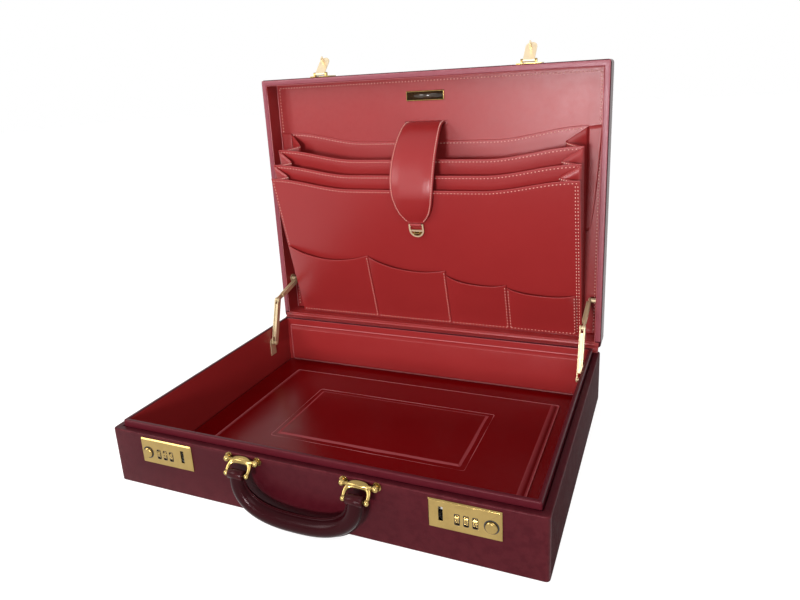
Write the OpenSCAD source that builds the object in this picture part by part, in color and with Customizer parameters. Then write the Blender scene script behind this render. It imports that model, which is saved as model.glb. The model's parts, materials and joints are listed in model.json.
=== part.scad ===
/* [Case] */
// Width of the case
case_w = 440; // [400:1:480]
// Depth of the case, from the handle side to the hinge side
case_d = 330; // [310:1:360]
// Height of the base up to the ledge that the lid rests on
base_h = 60; // [59:1:80]
// Height of the lid, from its rim to its top
lid_h = 30; // [29:1:40]
// Thickness of the side walls of base and lid
wall_t = 7.5; // [7:0.5:9]
// Thickness of the bottom board and of the lid's top board
board_t = 3; // [2.5:0.5:4]
// Rounding of the upright corners
corner_r = 4; // [2:0.5:8]
// Gap between the closed lid and the ledge
seam_gap = 0.6; // [0.4:0.1:1]

/* [Inner lining] */
// Thickness of the inner lining boards of the base
liner_t = 4.5; // [4:0.5:6]
// Height that the lining boards stand above the ledge
tongue_h = 6.5; // [5:0.5:12]
// Gap between the lining boards and the outer walls
liner_gap = 0.4; // [0.3:0.1:0.8]
// Thickness of the leather sheet on the floor
floor_t = 1.5; // [1:0.5:2.5]
// Width of the padded floor panel
pad_w = 356; // [320:1:370]
// Depth of the padded floor panel
pad_d = 236; // [200:1:250]
// Thickness of the padded floor panel
pad_t = 5; // [3:0.5:7]
// Width of the raised middle panel
middle_w = 226; // [180:1:260]
// Depth of the raised middle panel
middle_d = 120; // [100:1:140]
// Distance of the middle panel's centre behind the middle of the floor
middle_y = 5; // [0:1:15]
// Thickness of the raised middle panel
middle_t = 2.5; // [1.5:0.5:4]
// Thickness of the padded strip on the back wall
back_pad_t = 6; // [4:0.5:7]
// Thickness of the lid's lining panel
lining_t = 2; // [1.5:0.5:3]

/* [Hinge] */
// Length of the long hinge
hinge_l = 400; // [350:1:420]
// Number of knuckles
knuckle_count = 16; // [8:2:24]
// Outer radius of a knuckle
knuckle_r = 2.2; // [2:0.1:2.6]
// Radius of the hinge pin
hinge_pin_r = 1; // [0.8:0.1:1.2]
// Thickness of a hinge leaf
leaf_t = 1; // [0.8:0.1:1.2]
// Height of a hinge leaf on the wall
leaf_h = 14; // [10:1:18]

/* [Lid stays] */
// Distance of the base pivot in front of the hinge line
stay_base_in = 57; // [52:1:64]
// Distance of the base pivot below the hinge line
stay_base_down = 14.5; // [12:0.5:18]
// Distance of the lid pivot from the hinge line, along the lid
stay_lid_out = 56; // [50:1:62]
// Distance of the lid pivot from the hinge line, into the lid
stay_lid_in = 17.5; // [16:0.5:19]
// Width of a stay link
link_w = 7; // [6:0.5:9]
// Thickness of a stay link
link_t = 1.4; // [1:0.1:1.6]
// Radius of the stay rivets
rivet_r = 1.5; // [1.2:0.1:1.8]
// Thickness of the plates that carry the stays
stay_plate_t = 1; // [0.8:0.1:1.2]

/* [Locks] */
// Distance of a lock plate's middle from the end of the case
lock_side = 68; // [55:1:90]
// Distance of the lock's middle below the ledge
lock_drop = 17; // [16:0.5:22]
// Width of a lock plate
plate_w = 62; // [61:1:70]
// Height of a lock plate
plate_h = 27; // [25:1:29]
// Thickness of a lock plate
plate_t = 1.6; // [1.2:0.1:2]
// Radius of a number dial
dial_r = 5.8; // [5.4:0.1:5.8]
// Length of a number dial along its axle
dial_l = 3.6; // [3:0.1:4]
// Distance between neighbouring dials
dial_pitch = 7.6; // [7:0.1:8]
// Height that a dial stands out of the plate
dial_proud = 0.7; // [0.5:0.1:0.9]
// Radius of the dials' axle
axle_r = 1.2; // [1:0.1:1.4]
// Radius of the release button
button_r = 5.2; // [4.6:0.1:5.4]
// Travel of the release button
button_travel = 2.5; // [2:0.1:2.6]
// Travel of the latch bolt
bolt_travel = 3.2; // [2.8:0.1:3.4]
// Width of the hasp's flap
hasp_w = 13; // [11:0.5:15]
// Length of the hasp's flap from its hinge
hasp_l = 26; // [24:0.5:27]
// Angle between the open hasp and the closed one
hasp_open = 135; // [100:1:150]

/* [Handle] */
// Distance between the two ends of the handle
handle_span = 120; // [105:1:140]
// Distance from the handle's pins down to its underside
handle_drop = 47; // [42:1:47]
// Height of the grip, seen from the front
grip_h = 19; // [16:1:22]
// Thickness of the grip, front to back
grip_t = 17; // [14:1:18]
// Distance of the bails' pivots below the ledge
bail_drop = 4; // [3.5:0.5:6]
// Distance of the bails' pivots in front of the case
bail_out = 4; // [4:0.5:6]
// Length of a bail from its pivot to the handle's pin
bail_l = 12.4; // [12:0.2:14]
// Angle of the resting bails below the horizontal
bail_slope = 45; // [40:1:50]
// Width of the handle's ends between the bail arms
tab_w = 16; // [14:0.5:18]
// Radius of the handle's pins
handle_pin_r = 1.5; // [1.3:0.1:1.7]

/* [File] */
// Space between the expanding file and the lid's side walls
file_side = 16.5; // [15.5:0.5:27.5]
// Thickness of a leather sheet
sheet_t = 1.4; // [1.2:0.1:1.6]
// Distance between the bottom edges of neighbouring sheets
sheet_step = 3; // [2.6:0.1:3.1]
// Length of the rearmost sheet
file_back_l = 251; // [240:1:252]
// Length of the rear divider
divider_1_l = 234; // [225:1:238]
// Length of the front divider
divider_2_l = 219; // [210:1:222]
// Length of the front panel
file_front_l = 204; // [195:1:208]
// Depth of the dip in the top edges
edge_dip = 14; // [8:1:18]
// Angle by which the rear divider leans
divider_1_lean = 8; // [7:0.5:9]
// Angle by which the front divider leans
divider_2_lean = 12; // [11:0.5:12.5]
// Angle by which the front panel leans
front_lean = 14.5; // [14:0.5:16]
// Depth of the side folds
fold_d = 22; // [16:1:26]
// Depth of a small pocket at its mouth
pocket_d = 8; // [7:0.5:9]
// Width of the first small pocket, from the left
pocket_1_w = 119; // [100:1:125]
// Width of the second small pocket
pocket_2_w = 105; // [90:1:110]
// Width of the third small pocket
pocket_3_w = 77; // [65:1:85]
// Width of the strap at its widest
strap_w = 62; // [50:1:70]
// Thickness of the strap
strap_t = 3; // [2:0.5:3]
// Width of the strap's ring
ring_w = 19; // [17:1:22]
// Height of the strap's ring
ring_h = 17.5; // [17:0.5:20]
// Width of the badge
badge_w = 50; // [40:1:60]
// Height of the badge
badge_h = 12.5; // [10:0.5:15]

/* [Hidden] */
$fn = 32;

outer_leather = "#5e222b";
lining_leather = "#a03a3f";
floor_leather = "#7a1018";
brass = "#c9a657";
steel = "#9a9a9c";

clear = 0.3;         // space between pieces that don't touch
run_gap = 0.06;      // radial clearance of a running fit
side_gap = 0.2;      // space between pieces that slide past each other
cut = 1;             // length that a cutting shape runs past a face

front_y = -case_d / 2;
back_y = case_d / 2;
hinge_play = 0.1;    // gap between the knuckles and the back
hinge_y = back_y + knuckle_r + hinge_play;
hinge_z = base_h + seam_gap / 2;
lid_z = base_h + seam_gap;                      // rim of the closed lid
rim_y = hinge_y + seam_gap / 2;                 // rim of the open lid
liner_x = case_w / 2 - wall_t - liner_gap - liner_t;
liner_y = case_d / 2 - wall_t - liner_gap - liner_t;
lid_inner_x = case_w / 2 - wall_t;
lock_x = case_w / 2 - lock_side;                // middle of a lock, from the middle of the case
file_w = 2 * (lid_inner_x - file_side);
lining_depth = lid_h - board_t - lining_t;      // rim to lining
lining_y = rim_y + lining_depth;                // lining of the open lid
lid_reach = hinge_y - front_y - wall_t;         // hinge line to the open lid's upper wall
floor_z = board_t + floor_t;

module box(w, d, h) {
    translate([-w / 2, -d / 2, 0]) cube([w, d, h]);
}

module rounded_plate(w, d, r) {
    square([w - 2 * r, d], center = true);
    square([w, d - 2 * r], center = true);
    for (x = [-1, 1], y = [-1, 1])
        translate([x * (w / 2 - r), y * (d / 2 - r)]) circle(r);
}

// A slab whose upper edge is bevelled
module pillow(w, d, t, bevel, r) {
    hull() {
        linear_extrude(t * 0.3) rounded_plate(w, d, r);
        linear_extrude(t) rounded_plate(w - 2 * bevel, d - 2 * bevel, r);
    }
}

// A round bar along X
module bar_x(r, l, x = 0) {
    translate([x, 0, 0]) rotate([0, 90, 0]) cylinder(r = r, h = l);
}

// Pieces drawn on the left side, and mirrored for the right
module on_side(side) {
    if (side < 0) children();
    else mirror([1, 0, 0]) children();
}

// Turns what is drawn on the closed lid to the open lid
module on_lid() {
    translate([0, hinge_y, hinge_z]) rotate([-90, 0, 0]) translate([0, -hinge_y, -hinge_z]) children();
}

// Base: shell and lining

module base_shell() {
    color(outer_leather) difference() {
        linear_extrude(base_h) rounded_plate(case_w, case_d, corner_r);
        translate([0, 0, board_t]) box(case_w - 2 * wall_t, case_d - 2 * wall_t, base_h);
        for (side = [-1, 1]) at_lock(side) lock_space();
    }
}

module base_liner() {
    color(lining_leather) difference() {
        translate([0, 0, board_t])
            box(2 * (liner_x + liner_t), 2 * (liner_y + liner_t), base_h + tongue_h - board_t);
        box(2 * liner_x, 2 * liner_y, base_h + tongue_h + cut);
        for (side = [-1, 1]) at_lock(side) lock_space();
    }
}

module floor_lining() {
    color(floor_leather) translate([0, 0, board_t])
        box(2 * (liner_x - clear), 2 * (liner_y - clear), floor_t);
}

module floor_pad() {
    color(floor_leather) translate([0, 0, floor_z]) pillow(pad_w, pad_d, pad_t, 4, 5);
}

module floor_middle() {
    color(floor_leather) translate([0, middle_y, floor_z + pad_t])
        pillow(middle_w, middle_d, middle_t, 4, 2);
}

back_pad_w = 2 * liner_x - 10;
back_pad_h = base_h - floor_z - 2;

module back_wall_pad() {
    color(lining_leather) translate([0, liner_y, floor_z + back_pad_h / 2]) rotate([90, 0, 0])
        pillow(back_pad_w, back_pad_h, back_pad_t, 3, 4);
}

// Long hinge on the back

knuckle_l = hinge_l / knuckle_count;
leaf_clear = knuckle_r + clear;

module hinge_leaf(first) {
    difference() {
        union() {
            translate([-hinge_l / 2, back_y - hinge_y, -leaf_clear - leaf_h])
                cube([hinge_l, leaf_t, leaf_h]);
            for (k = [first : 2 : knuckle_count - 1])
                translate([-hinge_l / 2 + k * knuckle_l + side_gap / 2, 0, 0]) {
                    bar_x(knuckle_r, knuckle_l - side_gap);
                    translate([0, back_y - hinge_y, -leaf_clear - cut])
                        cube([knuckle_l - side_gap, leaf_t, leaf_clear + cut]);
                }
        }
        bar_x(hinge_pin_r + run_gap, hinge_l + 2 * cut, -hinge_l / 2 - cut);
        leaf_screws(screw_r);
    }
}

screw_count = 8;
screw_r = 1.2;
screw_head_r = 2.4;
screw_head_t = 0.6;

// One row of screw shanks across a leaf, from its outer face inwards
module leaf_screws(r) {
    step = hinge_l / screw_count;
    for (k = [0 : screw_count - 1])
        translate([-hinge_l / 2 + (k + 0.5) * step, back_y - hinge_y, -leaf_clear - leaf_h / 2])
            rotate([-90, 0, 0]) cylinder(r = r, h = leaf_t);
}

module leaf_screw_heads() {
    step = hinge_l / screw_count;
    for (k = [0 : screw_count - 1])
        translate([-hinge_l / 2 + (k + 0.5) * step, back_y - hinge_y, -leaf_clear - leaf_h / 2])
            rotate([-90, 0, 0]) {
                cylinder(r = screw_r, h = leaf_t);
                translate([0, 0, leaf_t]) cylinder(r = screw_head_r, h = screw_head_t);
            }
}

module hinge_leaf_base() {
    color(brass) translate([0, hinge_y, hinge_z]) hinge_leaf(0);
}

module hinge_leaf_lid() {
    color(brass) on_lid() translate([0, hinge_y, hinge_z]) mirror([0, 0, 1]) hinge_leaf(1);
}

module hinge_pin() {
    color(brass) translate([0, hinge_y, hinge_z]) bar_x(hinge_pin_r, hinge_l, -hinge_l / 2);
}

module base_screws() {
    color(brass) translate([0, hinge_y, hinge_z]) leaf_screw_heads();
}

module lid_screws() {
    color(brass) on_lid() translate([0, hinge_y, hinge_z]) mirror([0, 0, 1]) leaf_screw_heads();
}

// Locks: the left one, seen from the front, with X towards the middle of the case

lock_z = base_h - lock_drop;
lock_case_w = 59.6;
lock_case_h = 23;
lock_case_d = 10.6;
lock_case_t = 0.8;
slot_x = 20;
slot_w = 3.8;
slot_h = 13;
slot_z = 1;
dial_x = -1.6;
dial_z = -1.5;
dial_y = dial_r - plate_t - dial_proud;
window_w = dial_l + 2 * clear;
window_h = 2 * sqrt(dial_r * dial_r - dial_y * dial_y) + 1;
button_x = -22.5;
button_z = -1.4;
web_t = 1;
bolt_z = 3.5;        // middle of the bolt, and of the staple's hole
bolt_y = 3.7;
bolt_h = 2.4;
bolt_d = 2.2;
bar_y = 6.8;         // rear bar that joins the bolt to the button's cam
bar_z = 7.5;
bar_t = 2;

module at_lock(side) {
    translate([0, front_y, lock_z]) on_side(side) translate([-lock_x, 0, 0]) children();
}

module lock_space() {
    w = lock_case_w + 2 * clear;
    h = lock_case_h + 2 * clear;
    translate([-w / 2, -cut, -h / 2]) cube([w, cut + lock_case_d + clear, h]);
}

module lock_plate(side) {
    color(brass) at_lock(side) difference() {
        rotate([90, 0, 0]) pillow(plate_w, plate_h, plate_t, 1, 0.5);
        for (k = [-1 : 1])
            translate([dial_x + k * dial_pitch - window_w / 2, -plate_t - cut, dial_z - window_h / 2])
                cube([window_w, plate_t + 2 * cut, window_h]);
        translate([slot_x - slot_w / 2, -plate_t - cut, slot_z - slot_h / 2])
            cube([slot_w, plate_t + 2 * cut, slot_h]);
        translate([button_x, cut, button_z]) rotate([90, 0, 0])
            cylinder(r = button_r + side_gap, h = plate_t + 2 * cut);
    }
}

module axle_web(x) {
    translate([x, 0, -lock_case_h / 2]) cube([web_t, lock_case_d, lock_case_h / 2 + 1.5]);
}

axle_x = 1.5 * dial_pitch + 0.5;    // inner face of the right web, from the middle dial

module lock_case(side) {
    inner_w = lock_case_w - 2 * lock_case_t;
    inner_h = lock_case_h - 2 * lock_case_t;
    color(steel) at_lock(side) difference() {
        union() {
            difference() {
                translate([-lock_case_w / 2, 0, -lock_case_h / 2])
                    cube([lock_case_w, lock_case_d, lock_case_h]);
                translate([-inner_w / 2, -cut, -inner_h / 2])
                    cube([inner_w, cut + lock_case_d - lock_case_t, inner_h]);
            }
            axle_web(dial_x + axle_x);
            axle_web(dial_x - axle_x - web_t);
        }
        translate([dial_x, dial_y, dial_z]) bar_x(axle_r, 2 * (axle_x + web_t) + 2, -axle_x - web_t - 1);
    }
}

collar_r = 2;
collar_gap = 0.15;

// The axle of three dials, with the collars that keep the dials apart
module dial_axle() {
    translate([dial_x, dial_y, dial_z]) {
        bar_x(axle_r, 2 * (axle_x + web_t), -axle_x - web_t);
        for (k = [-1, 0]) {
            l = dial_pitch - dial_l - 2 * collar_gap;
            bar_x(collar_r, l, k * dial_pitch + dial_l / 2 + collar_gap);
        }
    }
}

module dial_axles() {
    color(steel) for (side = [-1, 1]) at_lock(side) dial_axle();
}

groove_r = 0.5;

module dial(side, k) {
    color(brass) at_lock(side) translate([dial_x + (k - 2) * dial_pitch, dial_y, dial_z]) difference() {
        bar_x(dial_r, dial_l, -dial_l / 2);
        bar_x(axle_r + run_gap, dial_l + 2 * cut, -dial_l / 2 - cut);
        for (a = [0 : 36 : 324])
            rotate([a + 18, 0, 0]) translate([0, 0, dial_r])
                bar_x(groove_r, dial_l + 2 * cut, -dial_l / 2 - cut, $fn = 16);
    }
}

flange_r = 6.3;
flange_t = 1;
cam_y = 1.3;         // front of the cone that drives the bar
cam_r = 1.6;
stem_r = 1.4;
button_out = 2.2;    // height of the button above the plate
button_edge = 0.8;   // bevel round the button's face

module button(side) {
    cam_l = button_travel;
    color(brass) at_lock(side) translate([button_x, 0, button_z]) rotate([-90, 0, 0]) {
        translate([0, 0, -plate_t - button_out])
            cylinder(r1 = button_r - button_edge, r2 = button_r, h = button_edge);
        translate([0, 0, -plate_t - button_out + button_edge])
            cylinder(r = button_r, h = plate_t + button_out - button_edge + side_gap);
        translate([0, 0, side_gap]) cylinder(r = flange_r, h = flange_t);
        translate([0, 0, cam_y - 0.1])
            cylinder(r1 = cam_r + bolt_travel, r2 = cam_r, h = cam_l);
        cylinder(r = stem_r, h = lock_case_d - lock_case_t - button_travel - clear);
    }
}

arm_x = cam_r + side_gap;          // face of the bar's arm, from the button's middle
arm_w = 2;
arm_play = 0.4;
bolt_tip = 1.6;                    // length of bolt past the staple's middle
bolt_end = 5.6;

module latch(side) {
    arm_y = cam_y + button_travel + arm_play;
    left = button_x + arm_x;
    right = slot_x + bolt_end;
    color(steel) at_lock(side) {
        translate([left, bar_y, bar_z]) cube([right - left, bar_t, bar_t]);
        translate([left, arm_y, button_z - 1])
            cube([arm_w, bar_y + bar_t - arm_y, bar_z + bar_t - button_z + 1]);
        translate([right - arm_w, bolt_y - bolt_d / 2, bolt_z - bolt_h / 2])
            cube([arm_w, bar_y + bar_t - bolt_y + bolt_d / 2, bar_z + bar_t - bolt_z + bolt_h / 2]);
        translate([slot_x - bolt_tip, bolt_y - bolt_d / 2, bolt_z - bolt_h / 2])
            cube([bolt_end + bolt_tip, bolt_d, bolt_h]);
    }
}

// Hasps on the lid's front wall, drawn on the closed lid

hasp_barrel_r = 2;
hasp_pin_r = 1;
hasp_y = -plate_t - hasp_barrel_r - 0.1;    // pivot, in front of the front wall
hasp_up = 3.4;                              // pivot, above the rim
hasp_flap_t = 1.5;
hasp_base_t = 1.2;
hasp_base_w = 28;
hasp_base_h = 17;
lug_w = 2.5;

module at_hasp(side) {
    at_lock(side) translate([slot_x, 0, lid_z - lock_z]) children();
}

module hasp_base(side) {
    color(brass) on_lid() at_hasp(side) {
        difference() {
            translate([-hasp_base_w / 2, -hasp_base_t, 1]) cube([hasp_base_w, hasp_base_t, hasp_base_h]);
            translate([-hasp_w / 2 - clear, -hasp_base_t - cut, 0])
                cube([hasp_w + 2 * clear, hasp_base_t + 2 * cut, hasp_up + hasp_barrel_r + clear]);
        }
        for (m = [0, 1]) mirror([m, 0, 0]) translate([hasp_w / 2 + side_gap, hasp_y, hasp_up]) {
            bar_x(hasp_barrel_r, lug_w);
            translate([0, 0, -hasp_barrel_r]) cube([lug_w, -hasp_y, 2 * hasp_barrel_r]);
        }
        translate([0, hasp_y, hasp_up]) bar_x(hasp_pin_r, hasp_w + 2 * lug_w, -hasp_w / 2 - lug_w);
    }
}

staple_t = 1.6;
staple_h = 5;
staple_play = 0.4;
staple_hole_h = bolt_h + staple_play;
staple_hole_d = bolt_d + staple_play;
staple_end = 6.4;

// The flap hangs down from its pivot, with the staple behind it
module hasp(side) {
    face = -plate_t - clear;
    staple_z = bolt_z - (lid_z - lock_z);
    color(brass) on_lid() at_hasp(side) translate([0, hasp_y, hasp_up]) rotate([-hasp_open, 0, 0])
        translate([0, -hasp_y, -hasp_up]) difference() {
            union() {
                translate([-hasp_w / 2, face - hasp_flap_t, hasp_up - hasp_l + hasp_w / 2])
                    cube([hasp_w, hasp_flap_t, hasp_l - hasp_w / 2]);
                translate([0, face, hasp_up - hasp_l + hasp_w / 2]) rotate([90, 0, 0])
                    cylinder(r = hasp_w / 2, h = hasp_flap_t);
                translate([0, hasp_y, hasp_up]) bar_x(hasp_barrel_r, hasp_w, -hasp_w / 2);
                translate([-staple_t / 2, face - cut, staple_z - staple_h / 2])
                    cube([staple_t, staple_end - face + cut, staple_h]);
            }
            translate([0, hasp_y, hasp_up]) bar_x(hasp_pin_r + run_gap, hasp_w + 2 * cut, -hasp_w / 2 - cut);
            translate([-staple_t, bolt_y - staple_hole_d / 2, staple_z - staple_hole_h / 2])
                cube([2 * staple_t, staple_hole_d, staple_hole_h]);
        }
}

// Stays: two links on each side, folding as a parallelogram with the lid

base_pivot = [hinge_y - stay_base_in, hinge_z - stay_base_down];
lid_pivot = [hinge_y + stay_lid_in, hinge_z + stay_lid_out];
elbow = base_pivot + lid_pivot - [hinge_y, hinge_z];
lower_x = liner_x - stay_plate_t - side_gap;          // outer face of the lower link
upper_x = lower_x - link_t - side_gap;                // outer face of the upper link
rivet_head_r = 2.8;
rivet_head_t = 0.8;
stay_plate_r = 6;

module at_pivot(p) {
    translate([0, p[0], p[1]]) children();
}

// A link between two pivots, with its outer face at x
module link(a, b, x) {
    d = b - a;
    at_pivot(a) rotate([atan2(d[1], d[0]), 0, 0]) translate([-x, 0, 0]) {
        translate([0, 0, -link_w / 2]) cube([link_t, norm(d), link_w]);
        bar_x(link_w / 2, link_t);
        translate([0, norm(d), 0]) bar_x(link_w / 2, link_t);
    }
}

module rivet(x0, x1) {
    bar_x(rivet_r, x0 - x1 + side_gap / 2, -x0);
    bar_x(rivet_head_r, rivet_head_t, -x1 + side_gap / 2);
}

module stay_base_plate() {
    at_pivot(base_pivot) {
        bar_x(stay_plate_r, stay_plate_t, -liner_x);
        translate([-liner_x, -stay_plate_r, -3 * stay_plate_r])
            cube([stay_plate_t, 2 * stay_plate_r, 3 * stay_plate_r]);
        rivet(liner_x - stay_plate_t / 2, lower_x - link_t);
    }
}

module stay_lid_plate() {
    at_pivot(lid_pivot) {
        bar_x(stay_plate_r, stay_plate_t, -lid_inner_x);
        bar_x(2 * rivet_r, lid_inner_x - upper_x - side_gap, -lid_inner_x);
        rivet(upper_x + stay_plate_t, upper_x - link_t);
    }
}

module stay_base_plates() {
    color(brass) for (side = [-1, 1]) on_side(side) stay_base_plate();
}

module stay_lid_plates() {
    color(brass) for (side = [-1, 1]) on_side(side) stay_lid_plate();
}

module stay_lower(side) {
    color(brass) on_side(side) {
        difference() {
            link(base_pivot, elbow, lower_x);
            at_pivot(base_pivot) bar_x(rivet_r + run_gap, 2 * cut + link_t, -lower_x - cut);
        }
        at_pivot(elbow) rivet(lower_x - link_t / 2, upper_x - link_t);
    }
}

module stay_upper(side) {
    color(brass) on_side(side) difference() {
        link(elbow, lid_pivot, upper_x);
        for (p = [elbow, lid_pivot])
            at_pivot(p) bar_x(rivet_r + run_gap, 2 * cut + link_t, -upper_x - cut);
    }
}

// Handle with its two bails

bail_axis = [front_y - bail_out, base_h - bail_drop];
handle_axis = bail_axis + bail_l * [-cos(bail_slope), -sin(bail_slope)];
ball_r = 3.2;
barrel_r = 2.3;
arm_r = 2;
arm_dx = tab_w / 2 + clear + arm_r;       // middle of a bail arm, from the handle's end
barrel_half = arm_dx + arm_r;
post_dx = barrel_half + side_gap + ball_r;
stub_l = 3;
post_r = 2.2;
post_foot_r = 4;
post_foot_t = 1;

module at_handle_end(side) {
    translate([side * handle_span / 2, 0, 0]) children();
}

// Two ball-headed studs on the front wall that carry one bail
module handle_post_pair() {
    for (m = [0, 1]) mirror([m, 0, 0]) {
        at_pivot(bail_axis) {
            translate([post_dx, 0, 0]) sphere(ball_r);
            bar_x(handle_pin_r, post_dx - barrel_half + stub_l, barrel_half - stub_l);
        }
        translate([post_dx, front_y, bail_axis[1]]) rotate([90, 0, 0]) {
            cylinder(r = post_r, h = bail_out);
            cylinder(r = post_foot_r, h = post_foot_t);
        }
    }
}

module handle_posts() {
    color(brass) for (side = [-1, 1]) at_handle_end(side) handle_post_pair();
}

module bail(side) {
    color(brass) at_handle_end(side) {
        difference() {
            union() {
                at_pivot(bail_axis) bar_x(barrel_r, 2 * barrel_half, -barrel_half);
                for (m = [-1, 1]) translate([m * arm_dx, bail_axis[0], bail_axis[1]])
                    rotate([90 + bail_slope, 0, 0]) cylinder(r = arm_r, h = bail_l);
            }
            for (m = [0, 1]) mirror([m, 0, 0]) at_pivot(bail_axis)
                bar_x(handle_pin_r + run_gap, stub_l + clear + cut, barrel_half - stub_l - clear);
        }
        for (m = [-1, 1]) translate([m * (arm_dx + 0.6), handle_axis[0], handle_axis[1]])
            sphere(arm_r + 0.6);
        at_pivot(handle_axis) bar_x(handle_pin_r, 2 * arm_dx, -arm_dx);
    }
}

grip_rings = 40;
grip_sides = 16;
grip_squareness = 2.5;
tab_r = 4.8;
tab_t = 8;

// The grip's middle line is a squared arch, and its section swells from the ends to the middle
function arch(t) = let (e = 2 / grip_squareness, s = sin(t), c = cos(t),
                        sag = handle_drop - grip_h / 2)
    [handle_span / 2 * sign(s) * pow(abs(s), e), -sag * pow(abs(c), e)];
function grip_angle(k) = -90 + 180 * k / grip_rings;
function swell(t) = pow(abs(cos(t)), 0.5);
function grip_ring(k) = let (t = grip_angle(k), p = arch(t),
                             q = k == 0 ? arch(t + 1) - p : k == grip_rings ? p - arch(t - 1)
                                 : arch(t + 1) - arch(t - 1),
                             n = [-q[1], q[0]] / norm(q),
                             a = (tab_w + (grip_h - tab_w) * swell(t)) / 2,
                             b = (tab_t + (grip_t - tab_t) * swell(t)) / 2)
    [for (j = [0 : grip_sides - 1]) let (w = 360 * j / grip_sides)
        [p[0] + n[0] * a * cos(w), b * sin(w), p[1] + n[1] * a * cos(w)]];

// Skins rings of equal size, each given in the same turning order
module skin(rings) {
    m = len(rings[0]);
    last = (len(rings) - 1) * m;
    polyhedron(
        [for (r = rings) each r],
        [
            for (k = [0 : len(rings) - 2], j = [0 : m - 1]) let (a = k * m + j, b = k * m + (j + 1) % m)
                each [[a, b, b + m], [a, b + m, a + m]],
            for (j = [1 : m - 2]) each [[0, j + 1, j], [last, last + j, last + j + 1]]
        ]
    );
}

module handle() {
    color(outer_leather) at_pivot(handle_axis) difference() {
        union() {
            skin([for (k = [0 : grip_rings]) grip_ring(k)]);
            for (side = [-1, 1]) at_handle_end(side) bar_x(tab_r, tab_w, -tab_w / 2);
        }
        for (side = [-1, 1]) at_handle_end(side)
            bar_x(handle_pin_r + run_gap, tab_w + 2 * cut, -tab_w / 2 - cut);
    }
}

// Lid: shell, lining and badge

module lid_shell() {
    color(outer_leather) on_lid() difference() {
        translate([0, 0, lid_z]) linear_extrude(lid_h) rounded_plate(case_w, case_d, corner_r);
        translate([0, 0, lid_z - cut]) box(2 * lid_inner_x, case_d - 2 * wall_t, lid_h - board_t + cut);
    }
}

slot_l = 56;
strap_slot_t = 4.5;

module lid_lining() {
    gap = 0.5;
    color(lining_leather) difference() {
        on_lid() translate([0, 0, lid_z + lining_depth])
            box(2 * (lid_inner_x - gap), case_d - 2 * (wall_t + gap), lining_t);
        translate([0, lining_y - cut, strap_z])
            translate([-slot_l / 2, 0, -strap_slot_t / 2]) cube([slot_l, lining_t + cut, strap_slot_t]);
    }
}

badge_down = 21.8;       // distance of the badge's middle from the lid's upper wall
badge_t = 1.5;

module badge_plate() {
    color(brass) translate([0, lining_y, hinge_z + lid_reach - badge_down]) rotate([90, 0, 0])
        pillow(badge_w, badge_h, badge_t, 0.6, 1);
}

// Expanding file: sheets that lean forward from their bottom edges

file_z = hinge_z + hinge_y - back_y + wall_t;      // inner face of the open lid's lower wall
file_base_t = 1;
sheet_z = file_z + file_base_t + clear;
sheet_y = [for (k = [0 : 3]) lining_y - sheet_t / 2 - k * sheet_step];
sheet_l = [file_back_l, divider_1_l, divider_2_l, file_front_l];
sheet_lean = [0, divider_1_lean, divider_2_lean, front_lean];
strap_up = 7.9;          // height of the strap's slot above the rear sheet
strap_z = sheet_z + file_back_l + strap_up;
dip_steps = 28;
dip_flat = 0.42;         // share of the half width in which the dip is level

function dip_shape(u) = abs(u) < dip_flat ? 1 : (1 + cos(180 * (abs(u) - dip_flat) / (1 - dip_flat))) / 2;

module at_sheet(k) {
    translate([0, sheet_y[k], sheet_z]) rotate([sheet_lean[k], 0, 0]) children();
}

// A sheet seen from the front, whose top edge dips in the middle
module sheet_outline(w, l, dip) {
    polygon([
        [-w / 2, 0], [w / 2, 0],
        for (j = [dip_steps : -1 : 0]) let (u = 2 * j / dip_steps - 1) [u * w / 2, l - dip * dip_shape(u)]
    ]);
}

module file_sheet(k) {
    color(lining_leather) at_sheet(k) translate([0, sheet_t / 2, 0]) rotate([90, 0, 0])
        linear_extrude(sheet_t) sheet_outline(file_w, sheet_l[k], edge_dip);
}

module file_base() {
    d = 3 * sheet_step + sheet_t;
    color(lining_leather) translate([-file_w / 2, lining_y - d, file_z]) cube([file_w, d, file_base_t]);
}

fold_t = 0.8;
fold_edge = 0.5;         // distance of a fold from the sheets' side edges
fold_start = 1;          // height at which a fold starts along the sheets

// A point on the side edge of sheet k, at a share of its length, moved forward by off
function edge_point(k, share, off) = let (
        l = fold_start + (sheet_l[k] - fold_start) * share, a = sheet_lean[k])
    [sheet_y[k] - l * sin(a) - off / cos(a), sheet_z + l * cos(a)];

// One V fold between sheets k and k + 1, as a bottom and a top ring of six points
function fold_ring(k, share) = let (
        off = sheet_t / 2 + clear, x = file_w / 2 - fold_edge, tip = x - fold_d,
        a = edge_point(k, share, off), c = edge_point(k + 1, share, -off), m = (a + c) / 2,
        spread = a[0] - c[0], t = min(fold_t, 0.3 * spread), notch = tip + fold_d * 2 * t / spread)
    [[-x, a[0], a[1]], [-tip, m[0], m[1]], [-x, c[0], c[1]],
     [-x, c[0] + t, c[1]], [-notch, m[0], m[1]], [-x, a[0] - t, a[1]]];

module fold(k) {
    low = fold_ring(k, 0);
    high = fold_ring(k, 1);
    caps = [[0, 1, 4], [0, 4, 5], [1, 2, 3], [1, 3, 4]];
    // The inner faces are split along the same diagonals as the outer ones, so they stay parallel
    polyhedron(concat(low, high), [
        for (f = caps) each [[f[0], f[1], f[2]], [f[0] + 6, f[2] + 6, f[1] + 6]],
        for (j = [0 : 5]) let (i = (j + 1) % 6)
            each j == 3 || j == 4 ? [[j, j + 6, i], [i, j + 6, i + 6]] : [[j, j + 6, i + 6], [j, i + 6, i]]
    ]);
}

module file_gusset(side) {
    color(lining_leather) on_side(side) for (k = [0 : 2]) fold(k);
}

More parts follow.
